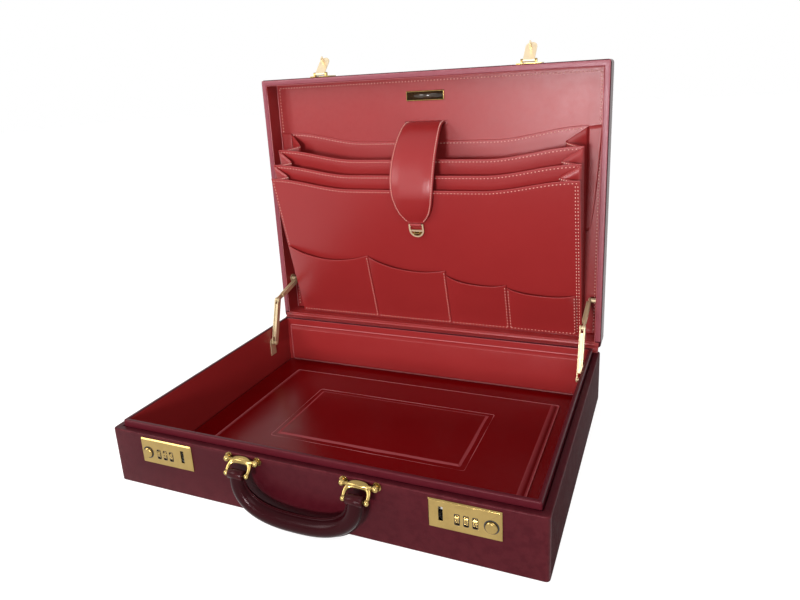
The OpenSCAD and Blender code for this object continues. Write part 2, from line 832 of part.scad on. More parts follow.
// Small pockets on the front panel: heights at their left and right edges, and the dip between
pocket_tops = [[106, 97, 11], [95, 81, 7], [74, 66, 4], [62, 58, 3]];
pocket_left = 2;         // bare edge of the panel left of the pockets
pocket_right = 6;        // bare edge of the panel right of the pockets
pocket_2_x = -file_w / 2 + pocket_left + pocket_1_w;
pocket_3_x = pocket_2_x + pocket_2_w;
pocket_x = [-file_w / 2 + pocket_left, pocket_2_x, pocket_3_x, pocket_3_x + pocket_3_w,
            file_w / 2 - pocket_right];
pocket_t = 1.2;
pocket_foot = 1.4;       // thickness of a pocket at its bottom
pocket_gap = 0.2;

module card_pocket(n) {
    p = pocket_tops[n - 1];
    x = pocket_x[n - 1];
    w = pocket_x[n] - x - pocket_gap;
    top = max(p[0], p[1]);
    color(lining_leather) at_sheet(3) translate([x + pocket_gap / 2, -sheet_t / 2, 0]) difference() {
        intersection() {
            rotate([90, 0, 0]) linear_extrude(pocket_d + pocket_foot + cut) polygon([
                [0, 0], [w, 0],
                for (j = [12 : -1 : 0]) let (u = j / 12)
                    [u * w, p[0] + (p[1] - p[0]) * u - p[2] * sin(180 * u)]
            ]);
            rotate([90, 0, 90]) linear_extrude(w)
                polygon([[0, 0], [-pocket_foot, 0], [-pocket_foot - pocket_d, top], [0, top]]);
        }
        translate([pocket_t, 0, 0]) rotate([90, 0, 90]) linear_extrude(w - 2 * pocket_t)
            polygon([[cut, pocket_t], [pocket_t - pocket_foot, pocket_t],
                     [pocket_t - pocket_foot - pocket_d, top + cut], [cut, top + cut]]);
    }
}

// Ring at the strap's tip, and the catch whose knob it hooks over
ring_z = 146.4;          // height of the ring's top along the front panel
ring_t = 1.8;
ring_wire = 1.8;
ring_y = -sheet_t / 2 - 3.2;
ring_bar = ring_h / 2;   // distance from the ring's top to its cross bar
ring_corner_z = -ring_h + ring_w / 2;
catch_t = 1.4;
knob_w = 7;
knob_h = 2.6;
knob_l = 5.4;

module ring_shape(r, top, low) {
    translate([-r, ring_corner_z]) square([2 * r, max(0.01, top - ring_corner_z)]);
    intersection() {
        translate([0, ring_corner_z]) circle(r);
        translate([-r, low]) square([2 * r, top - low]);
    }
}

module strap_ring() {
    r = ring_w / 2 - ring_wire;
    color(brass) at_sheet(3) translate([0, ring_y + ring_t / 2, ring_z]) rotate([90, 0, 0])
        linear_extrude(ring_t) difference() {
            ring_shape(ring_w / 2, 0, -ring_h);
            translate([-r, -ring_bar + ring_wire / 2]) square([2 * r, ring_bar - 1.5 * ring_wire]);
            ring_shape(r, -ring_bar - ring_wire / 2, -ring_h);
        }
}

module ring_catch() {
    z = ring_z - (ring_bar + ring_wire / 2 + ring_h - ring_wire) / 2;
    color(brass) at_sheet(3) translate([0, -sheet_t / 2, z]) rotate([90, 0, 0]) {
        linear_extrude(catch_t) rounded_plate(ring_w * 0.6, ring_h * 0.5, 3);
        linear_extrude(knob_l) rounded_plate(knob_w, knob_h, 1.2);
    }
}

// Strap from its slot in the lining, over the file's edges and down to its ring.
// Its middle line is a chain of points: shares of the ring's distance in front of the lining and of
// the drop from the slot to the ring, and a share of the strap's width.
strap_path = [
    [-0.024, 0, 0.86], [0.06, -0.012, 0.87], [0.2, -0.017, 0.88], [0.36, 0.009, 0.9],
    [0.54, 0.068, 0.92], [0.74, 0.163, 0.95], [0.94, 0.283, 0.98], [1.1, 0.42, 1], [1.2, 0.557, 1],
    [1.22, 0.685, 0.96], [1.16, 0.796, 0.86], [1.088, 0.89, 0.68], [1.024, 0.967, 0.45], [1, 1, 0.34]
];
strap_end_out = 3.6;     // distance of the strap's end in front of the front panel's middle
strap_end_up = 0.4;      // height of the strap's end above the ring
strap_end = [sheet_y[3] - ring_z * sin(front_lean) - strap_end_out,
             sheet_z + ring_z * cos(front_lean) + strap_end_up];

function strap_point(k) = [lining_y - strap_path[k][0] * (lining_y - strap_end[0]),
                           strap_z - strap_path[k][1] * (strap_z - strap_end[1])];
function strap_ring_points(k) = let (
        n = len(strap_path), p = strap_point(k),
        q = strap_point(min(k + 1, n - 1)) - strap_point(max(k - 1, 0)),
        u = [-q[1], q[0]] / norm(q) * strap_t / 2, x = strap_w * strap_path[k][2] / 2)
    [[-x, p[0] + u[0], p[1] + u[1]], [x, p[0] + u[0], p[1] + u[1]],
     [x, p[0] - u[0], p[1] - u[1]], [-x, p[0] - u[0], p[1] - u[1]]];

module strap() {
    color(lining_leather) skin([for (k = [0 : len(strap_path) - 1]) strap_ring_points(k)]);
}

base_shell();
base_liner();
floor_lining();
floor_pad();
floor_middle();
back_wall_pad();
hinge_leaf_base();
hinge_pin();
base_screws();
lock_plate(-1);  // lock_plate_left
lock_plate(1);  // lock_plate_right
lock_case(-1);  // lock_case_left
lock_case(1);  // lock_case_right
dial_axles();
stay_base_plates();
handle_posts();
lid_shell();
lid_lining();
badge_plate();
hinge_leaf_lid();
lid_screws();
file_sheet(0);  // file_back
file_base();
file_gusset(-1);  // file_gusset_left
file_gusset(1);  // file_gusset_right
stay_lid_plates();
hasp_base(-1);  // hasp_base_left
hasp_base(1);  // hasp_base_right
file_sheet(1);  // file_divider_1
file_sheet(2);  // file_divider_2
file_sheet(3);  // file_front
card_pocket(1);  // card_pocket_1
card_pocket(2);  // card_pocket_2
card_pocket(3);  // card_pocket_3
card_pocket(4);  // card_pocket_4
strap();
ring_catch();
strap_ring();
stay_lower(-1);  // stay_lower_left
stay_lower(1);  // stay_lower_right
stay_upper(-1);  // stay_upper_left
stay_upper(1);  // stay_upper_right
hasp(-1);  // hasp_left
hasp(1);  // hasp_right
dial(-1, 1);  // dial_left_1
dial(-1, 2);  // dial_left_2
dial(-1, 3);  // dial_left_3
dial(1, 1);  // dial_right_1
dial(1, 2);  // dial_right_2
dial(1, 3);  // dial_right_3
button(-1);  // button_left
button(1);  // button_right
latch(-1);  // latch_left
latch(1);  // latch_right
bail(-1);  // bail_left
bail(1);  // bail_right
handle();
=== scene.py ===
import json
import bpy
import bmesh
import numpy as np
from mathutils import Matrix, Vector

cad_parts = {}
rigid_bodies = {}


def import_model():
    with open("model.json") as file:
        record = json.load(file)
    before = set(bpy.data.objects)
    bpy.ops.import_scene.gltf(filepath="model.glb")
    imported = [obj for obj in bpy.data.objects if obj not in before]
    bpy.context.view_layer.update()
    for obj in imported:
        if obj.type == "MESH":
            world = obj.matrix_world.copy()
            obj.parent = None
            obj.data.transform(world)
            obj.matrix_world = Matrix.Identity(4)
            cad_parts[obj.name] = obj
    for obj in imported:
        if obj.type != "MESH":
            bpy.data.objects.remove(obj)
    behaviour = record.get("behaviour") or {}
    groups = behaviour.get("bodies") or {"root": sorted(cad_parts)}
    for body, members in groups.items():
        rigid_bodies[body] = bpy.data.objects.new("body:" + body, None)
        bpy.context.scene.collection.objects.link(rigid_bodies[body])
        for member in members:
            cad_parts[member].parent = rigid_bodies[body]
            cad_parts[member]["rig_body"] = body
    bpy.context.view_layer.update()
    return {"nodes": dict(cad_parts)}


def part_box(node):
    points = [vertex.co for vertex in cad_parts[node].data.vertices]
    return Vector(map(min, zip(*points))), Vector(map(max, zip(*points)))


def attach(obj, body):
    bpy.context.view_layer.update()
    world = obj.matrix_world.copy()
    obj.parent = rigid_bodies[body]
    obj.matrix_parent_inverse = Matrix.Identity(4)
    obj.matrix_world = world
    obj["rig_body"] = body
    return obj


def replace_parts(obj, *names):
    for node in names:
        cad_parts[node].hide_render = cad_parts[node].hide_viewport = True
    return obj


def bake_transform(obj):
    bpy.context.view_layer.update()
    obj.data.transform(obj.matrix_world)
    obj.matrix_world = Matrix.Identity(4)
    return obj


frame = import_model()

nodes = frame["nodes"]
mm = 0.001
print("frame loaded:", len(nodes), "nodes")


# Camera

photoView = {
    "azimuth": 24.358, "elevation": 16.309, "roll": -3.317,
    "place": (0.29106, -0.59666, 0.38284),
    "focalPixels": 657.99, "middlePixel": (386.4, 274.0),
    "width": 800, "height": 600, "sensor": 36.0,
}


def makeCamera(view):
    # back = the direction from the object to the camera; the roll turns right and up about it
    az, el, roll = np.radians([view["azimuth"], view["elevation"], view["roll"]])
    back = np.array([np.sin(az) * np.cos(el), -np.cos(az) * np.cos(el), np.sin(el)])
    right = np.cross(-back, (0, 0, 1))
    right /= np.linalg.norm(right)
    up = np.cross(back, right)
    axes = [np.cos(roll) * right + np.sin(roll) * up, np.cos(roll) * up - np.sin(roll) * right, back]
    data = bpy.data.cameras.new("photoCamera")
    data.sensor_width = view["sensor"]
    data.lens = view["sensor"] * view["focalPixels"] / view["width"]
    data.shift_x = (view["width"] / 2 - view["middlePixel"][0]) / view["width"]
    data.shift_y = (view["middlePixel"][1] - view["height"] / 2) / view["width"]
    data.clip_start = 0.01
    camera = bpy.data.objects.new("photoCamera", data)
    matrix = Matrix.Identity(4)
    for column, axis in enumerate([*axes, view["place"]]):
        for row in range(3):
            matrix[row][column] = axis[row]
    camera.matrix_world = matrix
    bpy.context.scene.collection.objects.link(camera)
    bpy.context.scene.camera = camera


makeCamera(photoView)
print("camera placed")


# Shader groups that several materials share

def newGroup(name, inputs, outputs):
    group = bpy.data.node_groups.new(name, "ShaderNodeTree")
    for label, kind, value in inputs:
        socket = group.interface.new_socket(label, in_out="INPUT", socket_type=kind)
        socket.default_value = value
    for label, kind in outputs:
        group.interface.new_socket(label, in_out="OUTPUT", socket_type=kind)
    return group, group.nodes.new("NodeGroupInput"), group.nodes.new("NodeGroupOutput")


def addNode(tree, kind, values=None, **settings):
    node = tree.nodes.new(kind)
    for key, value in settings.items():
        setattr(node, key, value)
    for key, value in (values or {}).items():
        node.inputs[key].default_value = value
    return node


def mathNode(tree, operation, a, b=None, clamp=False):
    node = addNode(tree, "ShaderNodeMath", operation=operation, use_clamp=clamp)
    for socket, value in zip(node.inputs, (a, b)):
        if isinstance(value, (int, float)):
            socket.default_value = value
        elif value is not None:
            tree.links.new(value, socket)
    return node.outputs[0]


def rangeNode(tree, value, fromLow, fromHigh, toLow, toHigh):
    node = addNode(tree, "ShaderNodeMapRange", interpolation_type="SMOOTHSTEP")
    for key, number in zip((1, 2, 3, 4), (fromLow, fromHigh, toLow, toHigh)):
        if isinstance(number, (int, float)):
            node.inputs[key].default_value = number
        else:
            tree.links.new(number, node.inputs[key])
    tree.links.new(value, node.inputs[0])
    return node.outputs[0]


def mixColour(tree, share, a, b):
    node = addNode(tree, "ShaderNodeMix", data_type="RGBA")
    for key, value in ((0, share), (6, a), (7, b)):
        if isinstance(value, (int, float, tuple)):
            node.inputs[key].default_value = value
        else:
            tree.links.new(value, node.inputs[key])
    return node.outputs[2]


def makeGrain():
    # height = worn-down cells of a cell pattern, plus long soft creases and fine noise
    tree, given, made = newGroup(
        "leatherGrain",
        [("Cells", "NodeSocketFloat", 900.0), ("Creases", "NodeSocketFloat", 60.0)],
        [("Height", "NodeSocketFloat"), ("Pores", "NodeSocketFloat")])
    place = addNode(tree, "ShaderNodeTexCoord").outputs["Object"]
    cells = addNode(tree, "ShaderNodeTexVoronoi", feature="DISTANCE_TO_EDGE")
    creases = addNode(tree, "ShaderNodeTexNoise", {"Detail": 3.0, "Roughness": 0.6})
    fine = addNode(tree, "ShaderNodeTexNoise", {"Detail": 2.0})
    warp = addNode(tree, "ShaderNodeTexNoise", {"Scale": 300.0, "Detail": 1.0})
    moved = addNode(tree, "ShaderNodeVectorMath", operation="MULTIPLY_ADD")
    moved.inputs[1].default_value = (0.0012, 0.0012, 0.0012)
    tree.links.new(place, warp.inputs["Vector"])
    tree.links.new(warp.outputs["Color"], moved.inputs[0])
    tree.links.new(place, moved.inputs[2])
    for node in (cells, creases, fine):
        tree.links.new(moved.outputs[0], node.inputs["Vector"])
    tree.links.new(given.outputs["Cells"], cells.inputs["Scale"])
    tree.links.new(given.outputs["Creases"], creases.inputs["Scale"])
    tree.links.new(mathNode(tree, "MULTIPLY", given.outputs["Cells"], 2.3), fine.inputs["Scale"])
    pores = rangeNode(tree, cells.outputs["Distance"], 0.0, 0.16, 0.0, 1.0)
    soft = mathNode(tree, "MULTIPLY", creases.outputs[0], 0.45)
    grit = mathNode(tree, "MULTIPLY", fine.outputs[0], 0.35)
    height = mathNode(tree, "ADD", mathNode(tree, "ADD", pores, soft), grit)
    tree.links.new(height, made.inputs["Height"])
    tree.links.new(pores, made.inputs["Pores"])
    return tree


def makeMottle():
    # share = broad clouds with smaller ones inside them, as dye takes unevenly
    tree, given, made = newGroup(
        "mottle", [("Size", "NodeSocketFloat", 14.0), ("Contrast", "NodeSocketFloat", 1.0)],
        [("Share", "NodeSocketFloat"), ("Fine", "NodeSocketFloat")])
    place = addNode(tree, "ShaderNodeTexCoord").outputs["Object"]
    broad = addNode(tree, "ShaderNodeTexNoise", {"Detail": 4.0, "Roughness": 0.62})
    fine = addNode(tree, "ShaderNodeTexNoise", {"Detail": 3.0})
    for node in (broad, fine):
        tree.links.new(place, node.inputs["Vector"])
    tree.links.new(given.outputs["Size"], broad.inputs["Scale"])
    tree.links.new(mathNode(tree, "MULTIPLY", given.outputs["Size"], 9.0), fine.inputs["Scale"])
    spread = mathNode(tree, "SUBTRACT", broad.outputs[0], 0.5)
    share = mathNode(tree, "MULTIPLY", mathNode(tree, "MULTIPLY", spread, given.outputs["Contrast"]), 2.2)
    tree.links.new(mathNode(tree, "ADD", share, 0.5, clamp=True), made.inputs["Share"])
    tree.links.new(fine.outputs[0], made.inputs["Fine"])
    return tree


def makeWear():
    # mask = convex edges, broken up by noise so that the rubbed line isn't even
    tree, given, made = newGroup(
        "edgeWear", [("Amount", "NodeSocketFloat", 0.5)], [("Mask", "NodeSocketFloat")])
    place = addNode(tree, "ShaderNodeTexCoord").outputs["Object"]
    convex = addNode(tree, "ShaderNodeNewGeometry").outputs["Pointiness"]
    noise = addNode(tree, "ShaderNodeTexNoise", {"Scale": 160.0, "Detail": 4.0})
    tree.links.new(place, noise.inputs["Vector"])
    edge = rangeNode(tree, convex, 0.505, 0.56, 0.0, 1.0)
    broken = rangeNode(tree, noise.outputs[0], 0.3, 0.62, 0.35, 1.0)
    mask = mathNode(tree, "MULTIPLY", mathNode(tree, "MULTIPLY", edge, broken), given.outputs["Amount"])
    tree.links.new(mask, made.inputs["Mask"])
    return tree


grainGroup, mottleGroup, wearGroup = makeGrain(), makeMottle(), makeWear()


def useGroup(tree, group, **values):
    node = tree.nodes.new("ShaderNodeGroup")
    node.node_tree = group
    for key, value in values.items():
        node.inputs[key].default_value = value
    return node


def newMaterial(name):
    material = bpy.data.materials.new(name)
    material.use_nodes = True
    return material, material.node_tree, material.node_tree.nodes["Principled BSDF"]


# Materials

leathers = {
    "outerLeather": {
        "colour": (0.05, 0.003, 0.007, 1), "deep": (0.034, 0.0018, 0.0045, 1),
        "rubbed": (0.14, 0.022, 0.028, 1), "tint": (1, 0.72, 0.74, 1),
        "rough": (0.3, 0.34), "specular": 0.11, "graze": 0.0006, "coat": 0.0, "coatRough": 0.2,
        "cells": 950.0, "bump": 0.3, "wear": 0.6, "mottle": 9.0,
    },
    "liningLeather": {
        "colour": (0.325, 0.024, 0.024, 1), "deep": (0.27, 0.017, 0.018, 1),
        "rubbed": (0.46, 0.1, 0.1, 1), "tint": (1, 0.93, 0.95, 1),
        "rough": (0.29, 0.32), "specular": 0.4, "coat": 0.0, "coatRough": 0.2,
        "cells": 1150.0, "bump": 0.22, "wear": 0.12, "mottle": 7.0,
    },
    "floorLeather": {
        "colour": (0.18, 0.0008, 0.002, 1), "deep": (0.13, 0.0004, 0.001, 1),
        # the rubbed colour here also paints the highlight on the pads' sloped rims, as strongly as slope says
        "rubbed": (0.4, 0.07, 0.08, 1), "tint": (1, 0.72, 0.76, 1),
        "rough": (0.16, 0.2), "specular": 0.16, "coat": 0.0, "coatRough": 0.1,
        "cells": 1250.0, "bump": 0.16, "wear": 0.9, "mottle": 7.0, "slope": 0.8,
    },
    "gripLeather": {
        "colour": (0.022, 0.0015, 0.003, 1), "deep": (0.015, 0.001, 0.002, 1),
        "rubbed": (0.09, 0.018, 0.02, 1), "tint": (1, 0.75, 0.78, 1),
        "rough": (0.15, 0.19), "specular": 0.08, "coat": 0.03, "coatRough": 0.08,
        "cells": 1100.0, "bump": 0.2, "wear": 0.3, "mottle": 30.0,
    },
}
# each of these is another leather in other shades
shades = {
    # the piping's pale pink is a painted highlight along its cords
    "piping": ("liningLeather", {
        "colour": (0.52, 0.14, 0.15, 1), "deep": (0.44, 0.1, 0.11, 1),
        "rubbed": (0.65, 0.28, 0.28, 1), "specular": 0.45}),
    # the rim band's paler, pinker colour is painted sheen on the lid's rim
    "rimLeather": ("outerLeather", {
        "colour": (0.25, 0.04, 0.06, 1), "deep": (0.2, 0.028, 0.042, 1),
        "rubbed": (0.4, 0.12, 0.14, 1), "specular": 0.5, "tint": (1, 0.86, 0.9, 1)}),
    "lipLeather": ("outerLeather", {
        "colour": (0.07, 0.0055, 0.011, 1), "deep": (0.05, 0.0035, 0.007, 1),
        "rubbed": (0.17, 0.03, 0.037, 1), "specular": 0.15}),
    # the floor pads' piping: a duller pink, still a painted highlight along the cords
    "dustyPiping": ("piping", {"colour": (0.42, 0.09, 0.1, 1), "deep": (0.36, 0.07, 0.08, 1)}),
}
for name, (likeness, changes) in shades.items():
    leathers[name] = {**leathers[likeness], **changes}
# base and lid are lined inside these boxes (centre, half size), and covered with outer leather round them
lined = {
    "base": ((0, 0, 0), (207.9 * mm, 152.9 * mm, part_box("base_liner")[1].z - 1 * mm)),
    "lid": ((0, 146 * mm, 227.6 * mm), (213 * mm, 50 * mm, 157.9 * mm)), "soft": 0.4 * mm,
}


def outsideOf(tree, centre, half):
    # share = how far a point lies outside the lined box, over a short soft edge
    place = addNode(tree, "ShaderNodeTexCoord").outputs["Object"]
    moved = addNode(tree, "ShaderNodeVectorMath", operation="SUBTRACT")
    moved.inputs[1].default_value = centre
    axes = addNode(tree, "ShaderNodeSeparateXYZ")
    tree.links.new(place, moved.inputs[0])
    tree.links.new(moved.outputs[0], axes.inputs[0])
    x, y, z = (
        mathNode(tree, "SUBTRACT", mathNode(tree, "ABSOLUTE", axes.outputs[k]), half[k]) for k in range(3))
    out = mathNode(tree, "MAXIMUM", mathNode(tree, "MAXIMUM", x, y), z)
    return rangeNode(tree, out, 0.0, lined["soft"], 0.0, 1.0)


def makeLeather(name, look, cover=None, place=None):
    # colour = dye between two shades by the clouds, darker in the pores, paler where rubbed, and paler on a
    # pad's sloped rims as a painted highlight
    material, tree, shader = newMaterial(name)
    grain = useGroup(tree, grainGroup, Cells=look["cells"], Creases=55.0)
    mottle = useGroup(tree, mottleGroup, Size=look["mottle"], Contrast=1.0)
    wear = useGroup(tree, wearGroup, Amount=look["wear"])
    dye = mixColour(tree, mottle.outputs["Share"], look["deep"], look["colour"])
    dye = mixColour(tree, 0.6, look["colour"], dye)
    poreShare = rangeNode(tree, grain.outputs["Pores"], 0.0, 1.0, 0.3, 0.0)
    dye = mixColour(tree, poreShare, dye, look["deep"])
    rubbed = look["rubbed"]
    if cover:
        outside = outsideOf(tree, *lined[place])
        dye = mixColour(tree, outside, dye, cover["colour"])
        rubbed = mixColour(tree, outside, rubbed, cover["rubbed"])
        tint = mixColour(tree, outside, look["tint"], cover["tint"])
        tree.links.new(tint, shader.inputs["Specular Tint"])
        shine = rangeNode(tree, outside, 0.0, 1.0, look["specular"], cover["specular"])
        tree.links.new(shine, shader.inputs["Specular IOR Level"])
    elif "graze" in look:
        # the sheen fades at grazing angles, where it would mirror the bright room
        facing = addNode(tree, "ShaderNodeLayerWeight", {"Blend": 0.5}).outputs["Facing"]
        shine = rangeNode(tree, facing, 0.5, 0.82, look["specular"], look["graze"])
        tree.links.new(shine, shader.inputs["Specular IOR Level"])
    mask = wear.outputs["Mask"]
    if "slope" in look:
        # a painted highlight on a pad's gently sloped rims, in the rubbed colour: share = lean from level,
        # less where it gets steep
        normal = addNode(tree, "ShaderNodeTexCoord").outputs["Normal"]
        axes = addNode(tree, "ShaderNodeSeparateXYZ")
        tree.links.new(normal, axes.inputs[0])
        lean = rangeNode(tree, axes.outputs[2], 0.995, 0.95, 0.0, look["slope"])
        steep = rangeNode(tree, axes.outputs[2], 0.86, 0.76, 1.0, 0.15)
        mask = mathNode(tree, "MAXIMUM", mask, mathNode(tree, "MULTIPLY", lean, steep))
    dye = mixColour(tree, mask, dye, rubbed)
    tree.links.new(dye, shader.inputs["Base Color"])
    rough = rangeNode(tree, mottle.outputs["Fine"], 0.3, 0.7, look["rough"][0], look["rough"][1])
    tree.links.new(rough, shader.inputs["Roughness"])
    bump = addNode(tree, "ShaderNodeBump", {"Strength": look["bump"], "Distance": 0.0001})
    tree.links.new(grain.outputs["Height"], bump.inputs["Height"])
    tree.links.new(bump.outputs[0], shader.inputs["Normal"])
    shader.inputs["Specular IOR Level"].default_value = look["specular"]
    shader.inputs["Specular Tint"].default_value = look["tint"]
    shader.inputs["Coat Weight"].default_value = look["coat"]
    shader.inputs["Coat Roughness"].default_value = look["coatRough"]
    return material


metals = {
    "brass": {"bright": (0.4, 0.28, 0.1, 1), "dull": (0.2, 0.13, 0.042, 1), "rough": (0.16, 0.27)},
    "paleBrass": {
        "bright": (0.62, 0.5, 0.31, 1), "dull": (0.42, 0.33, 0.18, 1), "rough": (0.42, 0.52),
        "metallic": 0.5,
    },
    "brightBrass": {
        "bright": (0.95, 0.78, 0.52, 1), "dull": (0.75, 0.58, 0.34, 1), "rough": (0.3, 0.4),
        "metallic": 0.6,
    },
    "steel": {"bright": (0.66, 0.66, 0.67, 1), "dull": (0.4, 0.4, 0.41, 1), "rough": (0.22, 0.4)},
}


def makeMetal(name, look):
    # polished metal: a thin film of tarnish in clouds, and fine scratches along X
    material, tree, shader = newMaterial(name)
    mottle = useGroup(tree, mottleGroup, Size=60.0, Contrast=1.3)
    wear = useGroup(tree, wearGroup, Amount=0.6)
    film = mathNode(tree, "MULTIPLY", mottle.outputs["Share"], 0.45)
    colour = mixColour(tree, film, look["bright"], look["dull"])
    colour = mixColour(tree, wear.outputs["Mask"], colour, look["bright"])
    tree.links.new(colour, shader.inputs["Base Color"])
    rough = rangeNode(tree, mottle.outputs["Fine"], 0.3, 0.7, look["rough"][0], look["rough"][1])
    tree.links.new(rough, shader.inputs["Roughness"])
    place = addNode(tree, "ShaderNodeTexCoord").outputs["Object"]
    stretch = addNode(tree, "ShaderNodeMapping", {"Scale": (1.0, 14.0, 14.0)})
    lines = addNode(tree, "ShaderNodeTexNoise", {"Scale": 420.0, "Detail": 3.0})
    tree.links.new(place, stretch.inputs["Vector"])
    tree.links.new(stretch.outputs[0], lines.inputs["Vector"])
    bump = addNode(tree, "ShaderNodeBump", {"Strength": 0.05, "Distance": 0.0002})
    tree.links.new(lines.outputs[0], bump.inputs["Height"])
    tree.links.new(bump.outputs[0], shader.inputs["Normal"])
    shader.inputs["Metallic"].default_value = look.get("metallic", 1.0)
    return material


waxedThread = {"dark": (0.66, 0.3, 0.25, 1), "pale": (0.88, 0.52, 0.45, 1), "rough": 0.55, "twist": 700.0}


def makeThread(look):
    # waxed thread: twisted strands as slanted waves
    material, tree, shader = newMaterial("thread")
    place = addNode(tree, "ShaderNodeTexCoord").outputs["Object"]
    wave = addNode(
        tree, "ShaderNodeTexWave", {"Scale": look["twist"], "Distortion": 1.0}, bands_direction="DIAGONAL")
    tree.links.new(place, wave.inputs["Vector"])
    colour = mixColour(tree, wave.outputs["Fac"], look["dark"], look["pale"])
    tree.links.new(colour, shader.inputs["Base Color"])
    bump = addNode(tree, "ShaderNodeBump", {"Strength": 0.4, "Distance": 0.0001})
    tree.links.new(wave.outputs["Fac"], bump.inputs["Height"])
    tree.links.new(bump.outputs[0], shader.inputs["Normal"])
    shader.inputs["Roughness"].default_value = look["rough"]
    return material


paints = {
    # this dark ink also colours the lock rims, which are painted shade
    "numberInk": {"dark": (0.012, 0.01, 0.009, 1), "pale": (0.035, 0.03, 0.026, 1), "rough": 0.45},
    "enamel": {"dark": (0.02, 0.012, 0.006, 1), "pale": (0.05, 0.028, 0.012, 1), "rough": 0.16},
}


def makePaint(name, look):
    # a coat that wavers between two near shades
    material, tree, shader = newMaterial(name)
    mottle = useGroup(tree, mottleGroup, Size=400.0, Contrast=1.0)
    colour = mixColour(tree, mottle.outputs["Share"], look["dark"], look["pale"])
    tree.links.new(colour, shader.inputs["Base Color"])
    shader.inputs["Roughness"].default_value = look["rough"]
    return material


finish = {name: makeLeather(name, look) for name, look in leathers.items()}
finish.update({name: makeMetal(name, look) for name, look in metals.items()})
for name, cover, place in (("linerLeather", "lipLeather", "base"), ("lidLeather", "outerLeather", "lid")):
    finish[name] = makeLeather(name, leathers["liningLeather"], leathers[cover], place)
finish["thread"] = makeThread(waxedThread)
finish.update({name: makePaint(name, look) for name, look in paints.items()})
print("materials made:", len(finish))


# Mesh helpers

def newPiece(name, points, faces, look, body=None, sharp=None):
    mesh = bpy.data.meshes.new(name)
    mesh.from_pydata(np.asarray(points, float).tolist(), [], [tuple(f) for f in faces])
    mesh.validate()
    mesh.shade_smooth()
    if sharp:
        mesh.set_sharp_from_angle(angle=np.radians(sharp))
    mesh.materials.append(finish[look])
    piece = bpy.data.objects.new(name, mesh)
    bpy.context.scene.collection.objects.link(piece)
    if body:
        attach(piece, body)
    return piece


def gridQuads(number, flip=False):
    # one quad between each four neighbours of a grid of vertex numbers
    quads = np.stack([number[:-1, :-1], number[1:, :-1], number[1:, 1:], number[:-1, 1:]], -1).reshape(-1, 4)
    return quads[:, ::-1] if flip else quads


def numbered(grid):
    # the vertex numbers of a grid of points
    return np.arange(grid.shape[0] * grid.shape[1]).reshape(grid.shape[:2])


def wrapped(number, bothWays=False):
    # the first column again after the last, and the first row too where a grid closes both ways
    number = np.concatenate([number, number[:, :1]], 1)
    return np.concatenate([number, number[:1]], 0) if bothWays else number


def tubeFaces(rings, sides):
    # quads round a tube of rings, with a cap at each end
    number = np.arange(rings * sides).reshape(rings, sides)
    return [*gridQuads(wrapped(number)).tolist(), number[0][::-1].tolist(), number[-1].tolist()]


def turned(centre, profile, sides):
    # a body turned about the X axis: the profile lists (x, radius)
    w = np.arange(sides) * 2 * np.pi / sides
    x, r = np.array(profile, float).T
    return np.stack([centre[0] + x[:, None] + 0 * w, centre[1] + r[:, None] * np.cos(w),
                     centre[2] + r[:, None] * np.sin(w)], -1)


def joined(parts):
    # several (points, faces) as one: each one's vertex numbers follow on from the one before
    points, faces, count = [], [], 0
    for flat, polygons in parts:
        points.append(flat)
        faces += [[v + count for v in f] for f in polygons]
        count += len(flat)
    return np.concatenate(points), faces


def slab(front, back):
    # two grids that share their border, seen from the side that the front faces
    number = numbered(front)
    hidden = number.copy()
    hidden[1:-1, 1:-1] = number.size + numbered(front[1:-1, 1:-1])
    points = np.concatenate([front.reshape(-1, 3), back[1:-1, 1:-1].reshape(-1, 3)])
    return points, np.concatenate([gridQuads(number), gridQuads(hidden, True)])


def thinSheet(name, grid, thickness, flip=False, body=None):
    # an open grid of lining leather that gets half its thickness on each side
    piece = newPiece(name, grid.reshape(-1, 3), gridQuads(numbered(grid), flip), "liningLeather", body)
    wall = piece.modifiers.new("leather", "SOLIDIFY")
    wall.thickness, wall.offset = thickness, 0
    return piece


def bandGrid(shape, centre):
    # the grid of a closed band turned round a bar along X, with its outer edges cut back
    half, inner, outer, cut = (shape[key] for key in ("half", "inner", "outer", "cut"))
    crest = [(x, outer) for x in (cut - half, *shape["between"], half - cut)]
    section = [(-half, inner), (-half, outer - cut), *crest, (half, outer - cut), (half, inner)]
    return turned(centre, section, shape["sides"]).swapaxes(0, 1)


def closedBand(name, grid, look, body):
    newPiece(name, grid.reshape(-1, 3), gridQuads(wrapped(numbered(grid), True)), look, body, 50)


def rimSteps(r, count=4):
    # distances from the edge at which a half-round rim is sampled: r (1 - cos a)
    return r * (1 - np.cos(np.linspace(0, np.pi / 2, count + 1)))


def rimHeight(distance, r):
    # quarter circle from 0 at the edge to r at a distance of r
    return np.sqrt(np.maximum(0, r * r - (r - np.minimum(distance, r)) ** 2))


def spanned(low, high, r, inner):
    # places from low to high, dense in the rims and even between them
    edge = rimSteps(r)
    even = np.linspace(low + r, high - r, inner + 1)[1:-1]
    return np.concatenate([low + edge, even, high - edge[::-1]])


